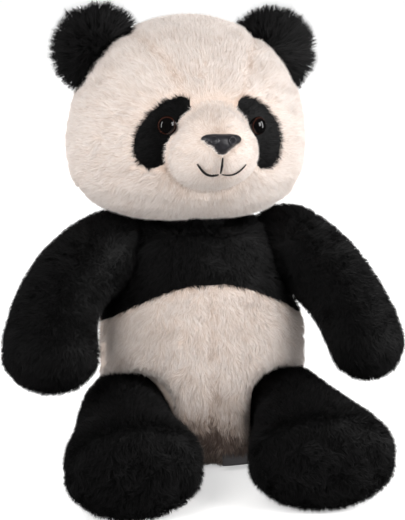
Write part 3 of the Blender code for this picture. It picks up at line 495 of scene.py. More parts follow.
def distance_to_mouth(points):
    dots = np.concatenate([resample(path, 40) for path in MOUTH.values()])
    tree = point_tree(dots)
    return np.array([tree.find(Vector(p))[2] for p in points])


def axis_distance(points, base, way):
    rel = points - base
    along = rel @ way
    return np.linalg.norm(rel - along[:, None] * way, axis=1), along


def nose_space(points):
    rel = points - NOSE
    return rel @ NOSE_SIDE / MM, rel @ NOSE_UP / MM, rel @ NOSE_WAY / MM


NOSE_HALF_EDGE = (  # one side of the nose from the middle of its top to its point, mm
    (0.0, 5.2), (6.0, 5.4), (10.6, 4.9), (13.1, 3.5), (13.7, 1.9), (12.4, 0.0),
    (8.8, -2.8), (5.2, -5.8), (2.5, -7.7), (0.0, -8.4),
)


def nose_outline(count):
    """Wide soft triangle, flat on top and pointed below, mm."""
    half = np.array(NOSE_HALF_EDGE)
    loop = np.concatenate([half, (half * (-1, 1))[-2:0:-1], half[:1]])
    flat = resample(np.column_stack([loop, 0 * loop[:, :1]]), count + 1)[:-1, :2]
    for _ in range(count // 24):
        flat = 0.5 * flat + 0.25 * (np.roll(flat, 1, 0) + np.roll(flat, -1, 0))
    return flat[:, 0], flat[:, 1]


NOSE_AROUND = 144
NOSE_REACH = -14  # farther back than this along the nose's axis is not beside it, mm
NOT_NEAR = 9.0


def under_nose(points):
    """Below 1 inside the nose's outline, growing outward."""
    x, z, along = nose_space(points)
    edge_x, edge_z = nose_outline(NOSE_AROUND)
    turn = np.arctan2(edge_z, edge_x)
    order = np.argsort(turn)
    edge = np.interp(np.arctan2(z, x), turn[order], np.hypot(edge_x, edge_z)[order],
                     period=2 * math.pi)
    return np.where(along > NOSE_REACH, np.hypot(x, z) / edge, NOT_NEAR)


FRINGE_WIDTH = 0.16  # share of the nose's outline
FRINGE_LIFT = 2.1 * MM  # raises the fringe onto the moulded edge


def nose_fringe(points):
    """Near 1 along the nose's lower sides, where the pile laps over its edge."""
    z = nose_space(points)[1]
    edge = np.exp(-((under_nose(points) - 1.0) / FRINGE_WIDTH) ** 2)
    return edge * (1 - smooth_step(z, 0.0, 2.5))


LEAST_AT_SEAM = {"head": 0.42, "yoke": 1.0, "patch": 1.0, "muzzle": 0.9}
LEAST_ELSEWHERE = 0.72
LEAST_BELOW_BROW = 0.85
SEAM_ZONE = 3.2 * MM
BROW = 20 * MM  # above the nose
EYE_DEPTH = 15 * MM  # pile farther along the eye's axis is not beside the eye
EYE_BARE = 4.6 * MM
# Short pile: share of the length where the zone starts, then where it starts and ends.
SHORT_AT_EYE = 0.30, 6 * MM, 12 * MM
SHORT_AT_MUZZLE = 0.45, 1 * MM, 9 * MM
SHORT_AT_PATCH = 0.40, 0.5 * MM, 6 * MM
SHORT_AT_MOUTH = 0.35, 0.8 * MM, 4 * MM
SHORT_AT_CHIN = 0.60, CHIN, CHIN + 14 * MM
SHORT_OVER_NOSE = 0.4


def grown(value, zone):
    least, start, end = zone
    return least + (1 - least) * smooth_step(value, start, end)


def pile_length(node, points, near, seam):
    """Share of the coat's length at each root."""
    kind = coat_of(node)
    least = np.full(len(points), LEAST_AT_SEAM.get(kind, LEAST_ELSEWHERE))
    if kind == "head":
        brow = smooth_step(points[:, 2], NOSE[2], NOSE[2] + BROW)
        least = LEAST_BELOW_BROW - (LEAST_BELOW_BROW - least) * brow
    share = grown(seam, (least, 0.0, SEAM_ZONE))
    if kind in ("muzzle", "patch", "head"):
        for tag in SIDES:
            away, along = axis_distance(points, EYES[tag], EYE_WAY[tag])
            share *= np.where(np.abs(along) < EYE_DEPTH, grown(away, SHORT_AT_EYE), 1.0)
    if kind in ("patch", "head"):
        share *= grown(near.distance("muzzle", points), SHORT_AT_MUZZLE)
    if kind == "head":
        share *= grown(points[:, 2], SHORT_AT_CHIN)
        share *= grown(near.distance("eye_patch", points), SHORT_AT_PATCH)
    if kind == "muzzle":
        share *= grown(distance_to_mouth(points), SHORT_AT_MOUTH)
        above = smooth_step(nose_space(points)[1], -1.0, 2.0)
        beside = 1 - smooth_step(under_nose(points), 0.95, 1.8)
        share *= 1 - SHORT_OVER_NOSE * above * beside
    return share


BARE_UNDER_NOSE = 0.80  # share of the nose's outline below its middle,
BARE_OVER_NOSE = 0.98  # and above it


def bare(node, points):
    """Roots that carry no strand."""
    gone = np.zeros(len(points), bool)
    kind = coat_of(node)
    if kind in ("muzzle", "patch", "head"):
        for tag in SIDES:
            away, along = axis_distance(points, EYES[tag], EYE_WAY[tag])
            gone |= (away < EYE_BARE) & (np.abs(along) < EYE_DEPTH)
    if kind == "muzzle":
        above = smooth_step(nose_space(points)[1], -2.0, 1.0)
        edge = BARE_UNDER_NOSE + (BARE_OVER_NOSE - BARE_UNDER_NOSE) * above
        gone |= under_nose(points) < edge
    return gone


def scatter(points, normals, seam, tris, density):
    """Evenly spread roots on a skin: place, normal and seam distance of each."""
    a, b, c = (points[tris[:, k]] for k in range(3))
    area = 0.5 * np.linalg.norm(np.cross(b - a, c - a), axis=1)
    want = area / MM**2 * density
    count = np.floor(want + rng.random(len(want))).astype(int)
    face = np.repeat(np.arange(len(tris)), count)
    s, t = rng.random(len(face)), rng.random(len(face))
    flip = s + t > 1
    s, t = np.where(flip, 1 - s, s), np.where(flip, 1 - t, t)
    w = np.stack([1 - s - t, s, t], -1)[..., None]
    corners = tris[face]
    beside = (seam[corners] * w[..., 0]).sum(1)
    return (points[corners] * w).sum(1), unit((normals[corners] * w).sum(1)), beside


LOCKS = 0.09  # locks for each strand
LOCK_SPREAD = 0.35  # how much of its own place a strand keeps within its lock


def clump(roots, tips, share):
    """Pulls tips together in small locks; returns the tips and each strand's leader."""
    count = max(1, int(len(roots) * LOCKS))
    pick = rng.choice(len(roots), count, replace=False)
    tree = point_tree(roots[pick])
    lead = pick[np.array([tree.find(Vector(p))[1] for p in roots])]
    pull = share * rng.uniform(0.4, 1.0, len(roots))[:, None]
    aim = tips[lead] + LOCK_SPREAD * (roots - roots[lead])
    return tips + pull * (aim - tips), lead


FLOW_NOISE = (0.30, 16 * MM, 31), (0.22, 6 * MM, 57)  # strength, wavelength, seed
TILT_SPREAD = 11  # degrees
FRINGE_RISE = 0.16  # the fringe stands up this much more
LEAST_RISE = 0.12  # of a strand's direction along the normal
LENGTHS = 0.72, 1.12
WIDTHS = 0.75, 1.2
WISP_CHANCE = 0.03
WISP_LENGTH = 1.22
WISP_WIDTH = 0.7
ROOT_DEPTH = 0.3 * MM
FLOOR_GAP = 0.25 * MM  # tips stay above the floor by this and up to FLOOR_ROUGH more
FLOOR_ROUGH = 0.4 * MM
ROOT_FLOOR = 0.05 * MM
NORMAL_SPREAD = 0.30
TIP_BEND = 0.35  # how far a tip's normal leans along the strand
TONE = 0.62
TONE_NOISE = 0.06, 22 * MM, 91  # strength, wavelength, seed
TONE_RANGE = 0.38, 0.92
SHADED_RANGE = 0.03, 0.94
TETRA = np.array([[0, 1, 3], [1, 2, 3], [2, 0, 3], [2, 1, 0]])


def directions(body, node, roots, normals, fringe, lay, stray):
    """Each strand's direction: combed over the skin, tilted up from it and a little unruly."""
    count = len(roots)
    flow = comb(body, node, roots)
    for strength, wavelength, seed in FLOW_NOISE:
        flow = flow + strength * vector_noise(roots, wavelength, seed)
    flow = unit(flow - normals * np.sum(flow * normals, -1, keepdims=True))
    tilt = np.radians(lay + rng.normal(0, TILT_SPREAD, count))[:, None]
    tilt = tilt * (1 - FRINGE_RISE * fringe[:, None])
    way = normals * np.cos(tilt) + flow * np.sin(tilt)
    way = unit(way + stray * rng.normal(size=(count, 3)) * 0.6)
    inward = np.minimum(np.sum(way * normals, -1, keepdims=True) - LEAST_RISE, 0.0)
    return unit(way - normals * inward)


def grow(body, node, roots, normals, near, seam):
    """Strand meshes on the given roots: points, triangles, normals and pattern coordinates."""
    length, width, _, lay, lock, stray = COATS[coat_of(node)]
    keep = ~bare(node, roots)
    roots, normals, seam = roots[keep], normals[keep], seam[keep]
    count = len(roots)
    fringe = nose_fringe(roots) if coat_of(node) == "muzzle" else np.zeros(count)
    way = directions(body, node, roots, normals, fringe, lay, stray)
    share = np.maximum(pile_length(node, roots, near, seam), 1.1 * fringe)
    share = share * rng.uniform(*LENGTHS, count)
    roots = roots + normals * FRINGE_LIFT * fringe[:, None]
    wisp = rng.random(count) < WISP_CHANCE
    share = np.where(wisp, share * WISP_LENGTH, share)
    tips, lead = clump(roots, roots + way * length * MM * share[:, None], lock)
    tips[:, 2] = np.maximum(tips[:, 2], FLOOR_GAP + FLOOR_ROUGH * rng.random(count))
    way = unit(tips - roots)
    thick = 0.5 * width * MM * rng.uniform(*WIDTHS, count)[:, None]
    thick = np.where(wisp[:, None], WISP_WIDTH * thick, thick)
    side = unit(np.cross(way, normals) + 1e-6)
    over = np.cross(side, way)
    sunk = roots - normals * ROOT_DEPTH
    turn = rng.uniform(0, 2 * math.pi, count)[:, None]
    corners = []
    for k in range(3):
        angle = turn + k * 2 * math.pi / 3
        corners.append(sunk + thick * (np.cos(angle) * side + np.sin(angle) * over))
    points = np.stack([*corners, tips], 1)
    points[..., 2] = np.maximum(points[..., 2], ROOT_FLOOR)
    bent = unit(normals + NORMAL_SPREAD * rng.normal(size=(count, 3)))
    normal = np.stack([bent, bent, bent, unit(bent + TIP_BEND * way)], 1)
    tone = TONE + 0.10 * rng.normal(size=count) + 0.09 * rng.normal(size=count)[lead]
    strength, wavelength, seed = TONE_NOISE
    tone = np.clip(tone + strength * wave_noise(roots, wavelength, seed), *TONE_RANGE)
    # Painted shade: the tone is lowered in the creases, round the muzzle and low between the legs.
    tone = np.clip(tone - shade(node, roots, near, seam), *SHADED_RANGE)
    low_v = np.full(count, 0.03)
    uv = np.stack([np.stack([tone - 0.012, low_v], -1), np.stack([tone + 0.012, low_v], -1),
                   np.stack([tone, low_v + 0.02], -1),
                   np.stack([tone, np.full(count, 0.97)], -1)], 1)
    faces = (4 * np.arange(count)[:, None, None] + TETRA).reshape(-1, 3)
    return points.reshape(-1, 3), faces, normal.reshape(-1, 3), uv.reshape(-1, 2)


# Painted shade, taken off the pile's tone: along the seams, round and under the muzzle and low on the belly.
SEAM_SHADE = {"head": 0.15, "belly": 0.16, "muzzle": 0.03}
SEAM_SHADE_WIDTH = 1.5 * MM
SNOUT_SHADE = 0.10
SNOUT_SHADE_BELOW = 0.22
SNOUT_SHADE_WIDTH = 2.8 * MM
BELLY_SHADE = 0.66
BELLY_SHADE_POWER = 1.25
BELLY_LOW = 6 * MM, 74 * MM  # full shade below the first height, none above the second
BELLY_FRONT = -45 * MM, -15 * MM


def shade(node, points, near, seam):
    """How much painted shade darkens the pile: in the creases, round and under the muzzle and low between the
    legs.
    """
    kind = coat_of(node)
    height = points[:, 2]
    dark = SEAM_SHADE.get(kind, 0.0) * np.exp(-(seam / SEAM_SHADE_WIDTH) ** 2)
    if kind == "head":
        dark = dark * smooth_step(height, NOSE[2], NOSE[2] + BROW)
    if kind in ("head", "muzzle"):
        gap = near.distance("muzzle" if kind == "head" else "head_cheek", points)
        under = 1 - smooth_step(height, NOSE[2] - 25 * MM, NOSE[2] + 5 * MM)
        dark = dark + (SNOUT_SHADE + SNOUT_SHADE_BELOW * under) * np.exp(-gap / SNOUT_SHADE_WIDTH)
    if kind == "belly":
        low = 1 - smooth_step(height, *BELLY_LOW)
        front = 1 - smooth_step(points[:, 1], *BELLY_FRONT)
        dark = dark + BELLY_SHADE * low**BELLY_SHADE_POWER * front
    return dark


def outward(points, faces):
    """Turns each strand's faces outward."""
    p = points.reshape(-1, 4, 3)
    volume = np.einsum("ij,ij->i", np.cross(p[:, 1] - p[:, 0], p[:, 2] - p[:, 0]),
                       p[:, 3] - p[:, 0])
    flip = np.repeat(volume < 0, 4)
    faces = faces.copy()
    faces[flip] = faces[flip][:, ::-1]
    return faces


SKIN_TONE = 0.55


def plush_piece(body, node, skin_arrays, near, own_faces, strands, slot, materials):
    """One fabric panel: its patch of skin with the pile on it."""
    points, skin_normals, tris, seam = skin_arrays
    used, patch = np.unique(tris[own_faces], return_inverse=True)
    patch = patch.reshape(-1, 3)
    s_points, s_faces, s_normals, s_uv = strands
    s_faces = outward(s_points, s_faces)
    strength, wavelength, seed = TONE_NOISE
    tone = SKIN_TONE + strength * wave_noise(points[used], wavelength, seed)
    # The same painted shade on the skin under the pile.
    tone = np.clip(tone - shade(node, points[used], near, seam[used]), *SHADED_RANGE)
    # The skin takes the root end of the strand colour, the painted shade deep in the pile.
    skin_uv = np.stack([tone, np.full(len(used), 0.02)], -1)
    all_faces = np.concatenate([patch, s_faces + len(used)])
    mesh = tri_mesh(node + "_plush", np.concatenate([points[used], s_points]), all_faces)
    layer = mesh.uv_layers.new(name="OFBake")
    uv = np.concatenate([skin_uv, s_uv])[all_faces.ravel()]
    layer.uv.foreach_set("vector", uv.astype(np.float32).ravel())
    wanted = np.concatenate([skin_normals[used], s_normals])
    mesh.normals_split_custom_set_from_vertices(wanted.tolist())
    finish_piece(new_object(node + "_plush", mesh), node, slot, body, materials)


def finish_piece(obj, node, slot, body, materials):
    obj.data.materials.append(materials[slot])
    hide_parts(node)
    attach(obj, body)


def dress(skins, materials):
    """Grows the pile on every skin and cuts the result into one piece for each panel."""
    for body, (skin, near) in skins.items():
        points, tris = mesh_arrays(skin.data)
        normals = vertex_normals(skin.data)
        seam = np.empty(len(points), np.float32)
        skin.data.attributes["seam"].data.foreach_get("value", seam)
        density = max(COATS[coat_of(n)][2] for n in near.nodes)
        roots, root_normals, beside = scatter(points, normals, seam, tris, density)
        owner, reach = near.nearest(roots)
        face_owner, _ = near.nearest(points[tris].mean(1))
        luck = rng.random(len(roots))
        covered = reach < REACH
        if body == "torso":
            covered |= roots[:, 2] > COLLAR
        for k, node in enumerate(near.nodes):
            mine = (owner == k) & covered & (luck < COATS[coat_of(node)][2] / density)
            strands = grow(body, node, roots[mine], root_normals[mine], near, beside[mine])
            slot = "black_plush" if node.startswith(HIDDEN_BODIES) else SLOT[node]
            plush_piece(body, node, (points, normals, tris, seam), near, face_owner == k,
                        strands, slot, materials)
        bpy.data.objects.remove(skin)


# ---- materials ----
def srgb(r, g, b):
    values = np.array((r, g, b)) / 255.0
    linear = np.where(values <= 0.04045, values / 12.92, ((values + 0.055) / 1.055) ** 2.4)
    return (*[float(x) for x in linear], 1.0)


class Nodes:
    def __init__(self, name):
        self.mat = bpy.data.materials.new(name)
        self.mat.use_nodes = True
        self.tree = self.mat.node_tree
        self.shader = self.tree.nodes["Principled BSDF"]

    def add(self, kind, **values):
        node = self.tree.nodes.new("ShaderNode" + kind)
        for key, value in values.items():
            setattr(node, key, value)
        return node

    def link(self, a, b):
        self.tree.links.new(a, b)

    def ramp(self, source, stops):
        node = self.add("ValToRGB")
        line = node.color_ramp
        while len(line.elements) < len(stops):
            line.elements.new(0.5)
        for element, (place, colour) in zip(line.elements, stops):
            element.position = place
            element.color = colour
        self.link(source, node.inputs["Fac"])
        return node.outputs["Color"]

    def colour(self, source, stops):
        self.link(self.ramp(source, stops), self.shader.inputs["Base Color"])

    def noise(self, scale, detail, rough=0.5):
        spot = self.add("TexCoord")
        node = self.add("TexNoise")
        node.inputs["Scale"].default_value = scale
        node.inputs["Detail"].default_value = detail
        node.inputs["Roughness"].default_value = rough
        self.link(spot.outputs["Object"], node.inputs["Vector"])
        return node

    def bump(self, height, strength, distance):
        node = self.add("Bump")
        node.inputs["Strength"].default_value = strength
        node.inputs["Distance"].default_value = distance
        self.link(height, node.inputs["Height"])
        self.link(node.outputs["Normal"], self.shader.inputs["Normal"])

    def put(self, **values):
        for key, value in values.items():
            self.shader.inputs[key.replace("_", " ")].default_value = value


def pile_material(name, along, tones, rough, sheen, tint, specular):
    """Pile colour by place along the strand, darker towards the root as painted shade deep in the pile, and by
    each lock's own tone, lowered by painted shade in the creases.
    """
    made = Nodes(name)
    uv = made.add("UVMap", uv_map="OFBake")
    split = made.add("SeparateXYZ")
    made.link(uv.outputs["UV"], split.inputs["Vector"])
    strand = made.ramp(split.outputs["Y"], along)
    tone = made.ramp(split.outputs["X"], tones)
    both = made.add("Mix", data_type="RGBA", blend_type="MULTIPLY")
    both.inputs["Factor"].default_value = 1.0
    made.link(strand, both.inputs[6])
    made.link(tone, both.inputs[7])
    made.link(both.outputs[2], made.shader.inputs["Base Color"])
    made.put(Roughness=rough, Sheen_Weight=sheen, Sheen_Roughness=0.45, Sheen_Tint=tint,
             Specular_IOR_Level=specular)
    return made.mat


def fibre_material(name, low, high, scale, sheen=0.3):
    made = Nodes(name)
    noise = made.noise(scale, 6.0, 0.6)
    made.colour(noise.outputs["Fac"], [(0.35, low), (0.65, high)])
    made.put(Roughness=0.92, Sheen_Weight=sheen)
    made.bump(noise.outputs["Fac"], 0.5, 0.6 * MM)
    return made.mat


def woven_material(name, low, high, pitch):
    """Plain weave from two sets of crossing bands."""
    made = Nodes(name)
    spot = made.add("TexCoord")
    heights = []
    for axis in ("X", "Z"):
        wave = made.add("TexWave", wave_type="BANDS", bands_direction=axis)
        wave.inputs["Scale"].default_value = 0.31 / pitch
        wave.inputs["Distortion"].default_value = 0.4
        made.link(spot.outputs["Object"], wave.inputs["Vector"])
        heights.append(wave.outputs["Fac"])
    both = made.add("Math", operation="MULTIPLY")
    made.link(heights[0], both.inputs[0])
    made.link(heights[1], both.inputs[1])
    made.colour(both.outputs[0], [(0.1, low), (0.7, high)])
    made.put(Roughness=0.75, Sheen_Weight=0.2)
    made.bump(both.outputs[0], 0.4, 0.15 * MM)
    return made.mat


def plastic_material(name, low, high, rough, scale, coat=0.0):
    made = Nodes(name)
    noise = made.noise(scale, 3.0)
    made.colour(noise.outputs["Fac"], [(0.3, low), (0.7, high)])
    made.put(Roughness=rough, Coat_Weight=coat, Coat_Roughness=0.04)
    made.bump(noise.outputs["Fac"], 0.08, 0.05 * MM)
    return made.mat


def eye_material():
    """Black pupil, dark brown ring and black rim under a clear coat."""
    made = Nodes("eye_lens_gloss")
    ring = made.add("Attribute", attribute_name="ring")
    made.colour(ring.outputs["Fac"], [
        (0.0, srgb(4, 3, 3)), (0.80, srgb(5, 4, 4)), (0.86, srgb(40, 20, 15)),
        (0.93, srgb(54, 28, 20)), (0.98, srgb(8, 6, 5)),
    ])
    made.put(Roughness=0.3, Specular_IOR_Level=0.0, Coat_Weight=1.0, Coat_IOR=1.45,
             Coat_Roughness=0.02)
    return made.mat


def make_materials():
    white = srgb(255, 255, 255)
    cream = pile_material(
        "cream_plush_pile",
        # Along the strand: darker towards the root, painted shade deep in the pile.
        [(0.0, srgb(220, 205, 194)), (0.3, srgb(239, 228, 220)), (1.0, srgb(249, 243, 240))],
        # Below about 0.38 the tone ramp is reached only through painted shade, so its dark end is painted shade in
        # the creases and low between the legs.
        [(0.0, srgb(96, 82, 78)), (0.25, srgb(212, 198, 188)), (0.45, srgb(242, 237, 234)),
         (0.75, srgb(252, 250, 249))],
        0.85, 0.25, srgb(255, 246, 238), 0.2)
    black = pile_material(
        "black_plush_pile",
        # Along the strand: darker towards the root, painted shade deep in the pile.
        [(0.0, srgb(3, 3, 3)), (0.4, srgb(14, 14, 14)), (1.0, srgb(31, 30, 31))],
        [(0.0, srgb(180, 178, 180)), (0.5, srgb(230, 229, 231)), (1.0, white)],
        0.6, 0.0, srgb(190, 190, 200), 0.22)
    return {
        "cream_plush": cream,
        "black_plush": black,
        "fill": fibre_material("polyester_fill", srgb(226, 226, 222), srgb(244, 244, 242), 900),
        "pouch_cloth": woven_material("pouch_weave", srgb(150, 146, 138), srgb(206, 202, 194),
                                      1.2 * MM),
        "washer": plastic_material("washer_plastic", srgb(222, 222, 218), srgb(236, 236, 233),
                                   0.45, 300),
        "nose": plastic_material("nose_satin", srgb(26, 25, 28), srgb(42, 41, 45), 0.36, 500),
        "eye_back": plastic_material("eye_back_plastic", srgb(10, 9, 9), srgb(18, 16, 16), 0.25,
                                     400),
        "eye_lens": eye_material(),
        "thread": fibre_material("mouth_thread", srgb(4, 4, 4), srgb(14, 13, 14), 2500, 0.0),
        "label": woven_material("label_weave", srgb(74, 72, 74), srgb(112, 110, 112),
                                0.5 * MM),
    }


# ---- eyes, nose, mouth and label ----
def grid_piece(name, rows, start, end, ring=None):
    """Smooth closed surface through rings of points, ending in a point at either side."""
    count = len(rows[0])
    faces = []
    for r in range(len(rows) - 1):
        for j in range(count):
            k = (j + 1) % count
            faces.append((r * count + j, r * count + k, (r + 1) * count + k,
                          (r + 1) * count + j))
    first = len(rows) * count
    last = first - count
    faces += [(first, (j + 1) % count, j) for j in range(count)]
    faces += [(first + 1, last + j, last + (j + 1) % count) for j in range(count)]
    mesh = bpy.data.meshes.new(name)
    mesh.from_pydata(np.concatenate([*rows, [start, end]]).tolist(), [], faces)
    work = bmesh.new()
    work.from_mesh(mesh)
    bmesh.ops.recalc_face_normals(work, faces=work.faces)
    work.to_mesh(mesh)
    work.free()
    mesh.shade_smooth()
    if ring is not None:
        values = np.concatenate([np.repeat(ring, count), np.zeros(2)])
        layer = mesh.attributes.new("ring", "FLOAT", "POINT")
        layer.data.foreach_set("value", values.astype(np.float32))
    return new_object(name, mesh)


def turned(base, way, profile, around):
    """Rings round an axis, from distances along it and radii."""
    e1 = unit(np.cross(way, (0.3, 0.2, 1.0)))
    e2 = np.cross(way, e1)
    a = np.arange(around) * 2 * math.pi / around
    circle = np.cos(a)[:, None] * e1 + np.sin(a)[:, None] * e2
    return [base + along * way + radius * circle for along, radius in profile]


EYE_RADIUS = 6.1 * MM
EYE_HIGH = 4.4 * MM
EYE_SINK = 1.2 * MM
EYE_SKIRT = 1.6 * MM  # depth of the rim below the dome
EYE_AROUND = 48
EYE_RINGS = 22


def make_eye(tag, materials):
    """A high smooth dome on a rounded rim, seated in the short pile of the patch."""
    way = EYE_WAY[tag]
    lens, _ = mesh_arrays(frame["nodes"][f"eye_lens_{tag}"].data)
    base = EYES[tag] + way * (float(((lens - EYES[tag]) @ way).min()) - EYE_SINK)
    profile = [(-EYE_SKIRT, EYE_RADIUS * 0.93), (-0.7 * MM, EYE_RADIUS * 0.99)]
    ring = [1.0, 1.0]
    for t in np.linspace(0.0, 0.5 * math.pi, EYE_RINGS)[:-1]:
        profile.append((EYE_HIGH * math.sin(t), EYE_RADIUS * math.cos(t)))
        ring.append(math.cos(t))
    obj = grid_piece(f"eye_dome_{tag}", turned(base, way, profile, EYE_AROUND),
                     base - way * EYE_SKIRT, base + way * EYE_HIGH, np.array(ring))
    finish_piece(obj, f"eye_lens_{tag}", "eye_lens", "head", materials)


NOSE_SINK = 2.9 * MM  # lowers the moulded nose into the pile
NOSE_RINGS = 46
NOSE_EDGE = 1.0  # all below in mm: height of the edge,
NOSE_DOME = 4.4  # height of the dome over it,
NOSE_BACK = 62.0  # twice the radius that the nose's back is bent to
NOSE_LOWER_DROP = 1.7  # how far the lower sides dip into the pile
NOSE_CREASE = 0.35, 1.5  # depth and half width of the crease below the nostrils
NOSE_SKIRT = 2.2
NOSTRILS = (-6.9, 0.6), (5.4, 0.8)  # sideways and up from the nose's middle
NOSTRIL_PIT = 1.4, 1.1  # depth and width
NOSTRIL_RIM = 0.6, 2.4, 0.55  # height, radius and width


def nose_height(x, z, s):
    """Height of the nose's face at a share s of its outline, mm."""
    rise = NOSE_EDGE + NOSE_DOME * math.sqrt(max(1 - s**2.6, 0.0)) - (x**2 + z**2) / NOSE_BACK
    pit, pit_width = NOSTRIL_PIT
    rim, rim_radius, rim_width = NOSTRIL_RIM
    for middle_x, middle_z in NOSTRILS:
        away = np.hypot(x - middle_x, z - middle_z)
        rise = rise - pit * np.exp(-(away / pit_width) ** 2)
        rise = rise + rim * np.exp(-((away - rim_radius) / rim_width) ** 2)
    crease, crease_width = NOSE_CREASE
    rise = rise - crease * np.exp(-(x / crease_width) ** 2) * smooth_step(-z, 1.0, 5.0)
    return rise - NOSE_LOWER_DROP * smooth_step(s, 0.5, 1.0) * smooth_step(-z, -0.5, 3.5)


def make_nose(materials):
    """Moulded nose: domed, with two ringed nostrils and a low crease below them."""
    edge_x, edge_z = nose_outline(NOSE_AROUND)
    base = NOSE - NOSE_WAY * NOSE_SINK

    def ring(x, z, rise):
        return base + (x[:, None] * NOSE_SIDE + z[:, None] * NOSE_UP
                       + rise[:, None] * NOSE_WAY) * MM

    rows = [ring(0.97 * edge_x, 0.97 * edge_z, -NOSE_SKIRT - (edge_x**2 + edge_z**2) / NOSE_BACK)]
    for s in np.sin(np.linspace(0.5 * math.pi, 0.04, NOSE_RINGS)):
        x, z = edge_x * s, edge_z * s
        rows.append(ring(x, z, nose_height(x, z, s)))
    obj = grid_piece("nose_moulded", rows, rows[0].mean(0), rows[-1].mean(0))
    finish_piece(obj, "nose", "nose", "head", materials)


THREADS = (  # mouth line, lift over the cloth, radius, share of the line that shows
    ("centre", 1.1 * MM, 0.80 * MM, 1.0),
    ("right", 1.1 * MM, 0.90 * MM, 1.0),
    ("left", 0.8 * MM, 0.62 * MM, 0.9),
)
THREAD_STEPS = 60
THREAD_TURNS = 7.5
PLY_SIDES = 8
PLY_RADIUS = 0.62  # share of the thread's radius


def make_thread(tag, lift, radius, shown, materials):
    """Two plies twisted round the mouth line, raised over the short pile."""
    node = f"mouth_line_{tag}"
    path = resample(MOUTH[tag], THREAD_STEPS)[:round(shown * THREAD_STEPS)]
    way = unit(np.gradient(path, axis=0))
    side = unit(np.cross(way, unit(path - centre("muzzle_fill"))))
    out = np.cross(side, way)
    path = path + out * lift
    turn = np.linspace(0, 2 * math.pi * THREAD_TURNS, len(path))[:, None]
    fade = np.sin(np.linspace(0.06, math.pi - 0.06, len(path))) ** 0.35
    a = np.arange(PLY_SIDES)[:, None] * 2 * math.pi / PLY_SIDES
    work = bmesh.new()
    for ply in (0.0, math.pi):
        middle = path + 0.5 * radius * (np.cos(turn + ply) * side + np.sin(turn + ply) * out)
        rows = [m + PLY_RADIUS * radius * f * (np.cos(a) * across + np.sin(a) * up)
                for m, f, across, up in zip(middle, fade, side, out)]
        part = grid_piece(f"{node}_ply", rows, rows[0].mean(0), rows[-1].mean(0))
        work.from_mesh(part.data)
        bpy.data.objects.remove(part)
    finish_piece(smooth_object(f"{node}_thread", work), node, "thread", "head", materials)


def smooth_object(name, work):
    mesh = bpy.data.meshes.new(name)
    work.to_mesh(mesh)
    work.free()
    mesh.shade_smooth()
    return new_object(name, mesh)


LABEL_ACROSS = 16  # squares along the label, and up it
LABEL_UP = 10
LABEL_THICK = 0.6 * MM
LABEL_OUT = 2.6 * MM  # how far the top edge stands out of the belly
LABEL_FLARE = 1.2 * MM  # how much farther the lower edge does
LABEL_BEND = 1.1 * MM
LABEL_LIFT = 1.5 * MM


def make_label(materials):
    """Blank woven label, softly bent, standing a little out of the belly pile."""
    low, high = (np.array(corner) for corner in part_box("care_label"))
    middle, half = (low + high) / 2, (high - low) / 2
    work = bmesh.new()

    def corner(i, j, depth):
        u, v = 2 * j / LABEL_ACROSS - 1, 2 * i / LABEL_UP - 1
        bend = LABEL_BEND * math.sin(1.2 * u + 0.7 * v) - LABEL_FLARE * (1 - v)
        return work.verts.new((middle[0] + u * half[0], middle[1] - LABEL_OUT + bend + depth,
                               middle[2] + LABEL_LIFT + v * half[2]))

    front, back = ([[corner(i, j, depth) for j in range(LABEL_ACROSS + 1)]
                    for i in range(LABEL_UP + 1)] for depth in (0.0, LABEL_THICK))
    for i in range(LABEL_UP):
        for j in range(LABEL_ACROSS):
            work.faces.new((front[i][j], front[i][j + 1], front[i + 1][j + 1],
                            front[i + 1][j]))
            work.faces.new((back[i][j], back[i + 1][j], back[i + 1][j + 1], back[i][j + 1]))
    rim = [(0, j) for j in range(LABEL_ACROSS)] + [(i, LABEL_ACROSS) for i in range(LABEL_UP)]
    rim += [(LABEL_UP, j) for j in range(LABEL_ACROSS, 0, -1)]
    rim += [(i, 0) for i in range(LABEL_UP, 0, -1)]
    for (a, b), (c, d) in zip(rim, rim[1:] + rim[:1]):
        work.faces.new((front[a][b], back[a][b], back[c][d], front[c][d]))
    bmesh.ops.recalc_face_normals(work, faces=work.faces)
    finish_piece(smooth_object("care_label_woven", work), "care_label", "label", "torso",
                 materials)


# ---- stage ----
TARGET = Vector((-0.003, -0.030, 0.143))
DISTANCE = 1.150
AZIMUTH = math.radians(-8.0)
ELEVATION = math.radians(15.0)
LENS = 117.1  # mm, on a sensor 36 mm wide


def make_camera():
    data = bpy.data.cameras.new("camera")
    data.lens = LENS
    data.sensor_width = 36.0
    cam = bpy.data.objects.new("camera", data)
    bpy.context.scene.collection.objects.link(cam)
    back = Vector((math.sin(AZIMUTH) * math.cos(ELEVATION),
                   -math.cos(AZIMUTH) * math.cos(ELEVATION), math.sin(ELEVATION)))
    cam.location = TARGET + back * DISTANCE
    cam.rotation_mode = "QUATERNION"
    cam.rotation_quaternion = (-back).to_track_quat("-Z", "Y")
    bpy.context.scene.camera = cam


LIGHTS = (  # name, place, size, power in watts, colour
    ("key", (-0.75, -1.25, 1.05), (0.7, 0.9), 15.5, (1.0, 0.985, 0.97)),
    ("fill", (1.05, -1.05, 0.65), (0.6, 0.8), 13.0, (1.0, 0.99, 0.98)),
    ("side_left", (1.15, -0.40, 0.42), (0.22, 1.1), 7.5, (1.0, 1.0, 1.0)),
    ("side_right", (-1.15, -0.50, 0.42), (0.22, 1.1), 5.5, (1.0, 1.0, 1.0)),
    ("rear", (0.35, 1.35, 0.85), (1.2, 0.9), 13.0, (1.0, 1.0, 1.0)),
)
NO_HIGHLIGHT = ("key", "rear")  # lights that don't show in the eyes and the nose
AMBIENT = 0.56  # world light for surfaces,
BACKDROP = 1.05  # for the camera's own view
REFLECTED = 0.06  # and for reflections
FLOOR_GLOW = 0.5
FLOOR_SIZE = 6.0
FLOOR_DROP = 0.4 * MM


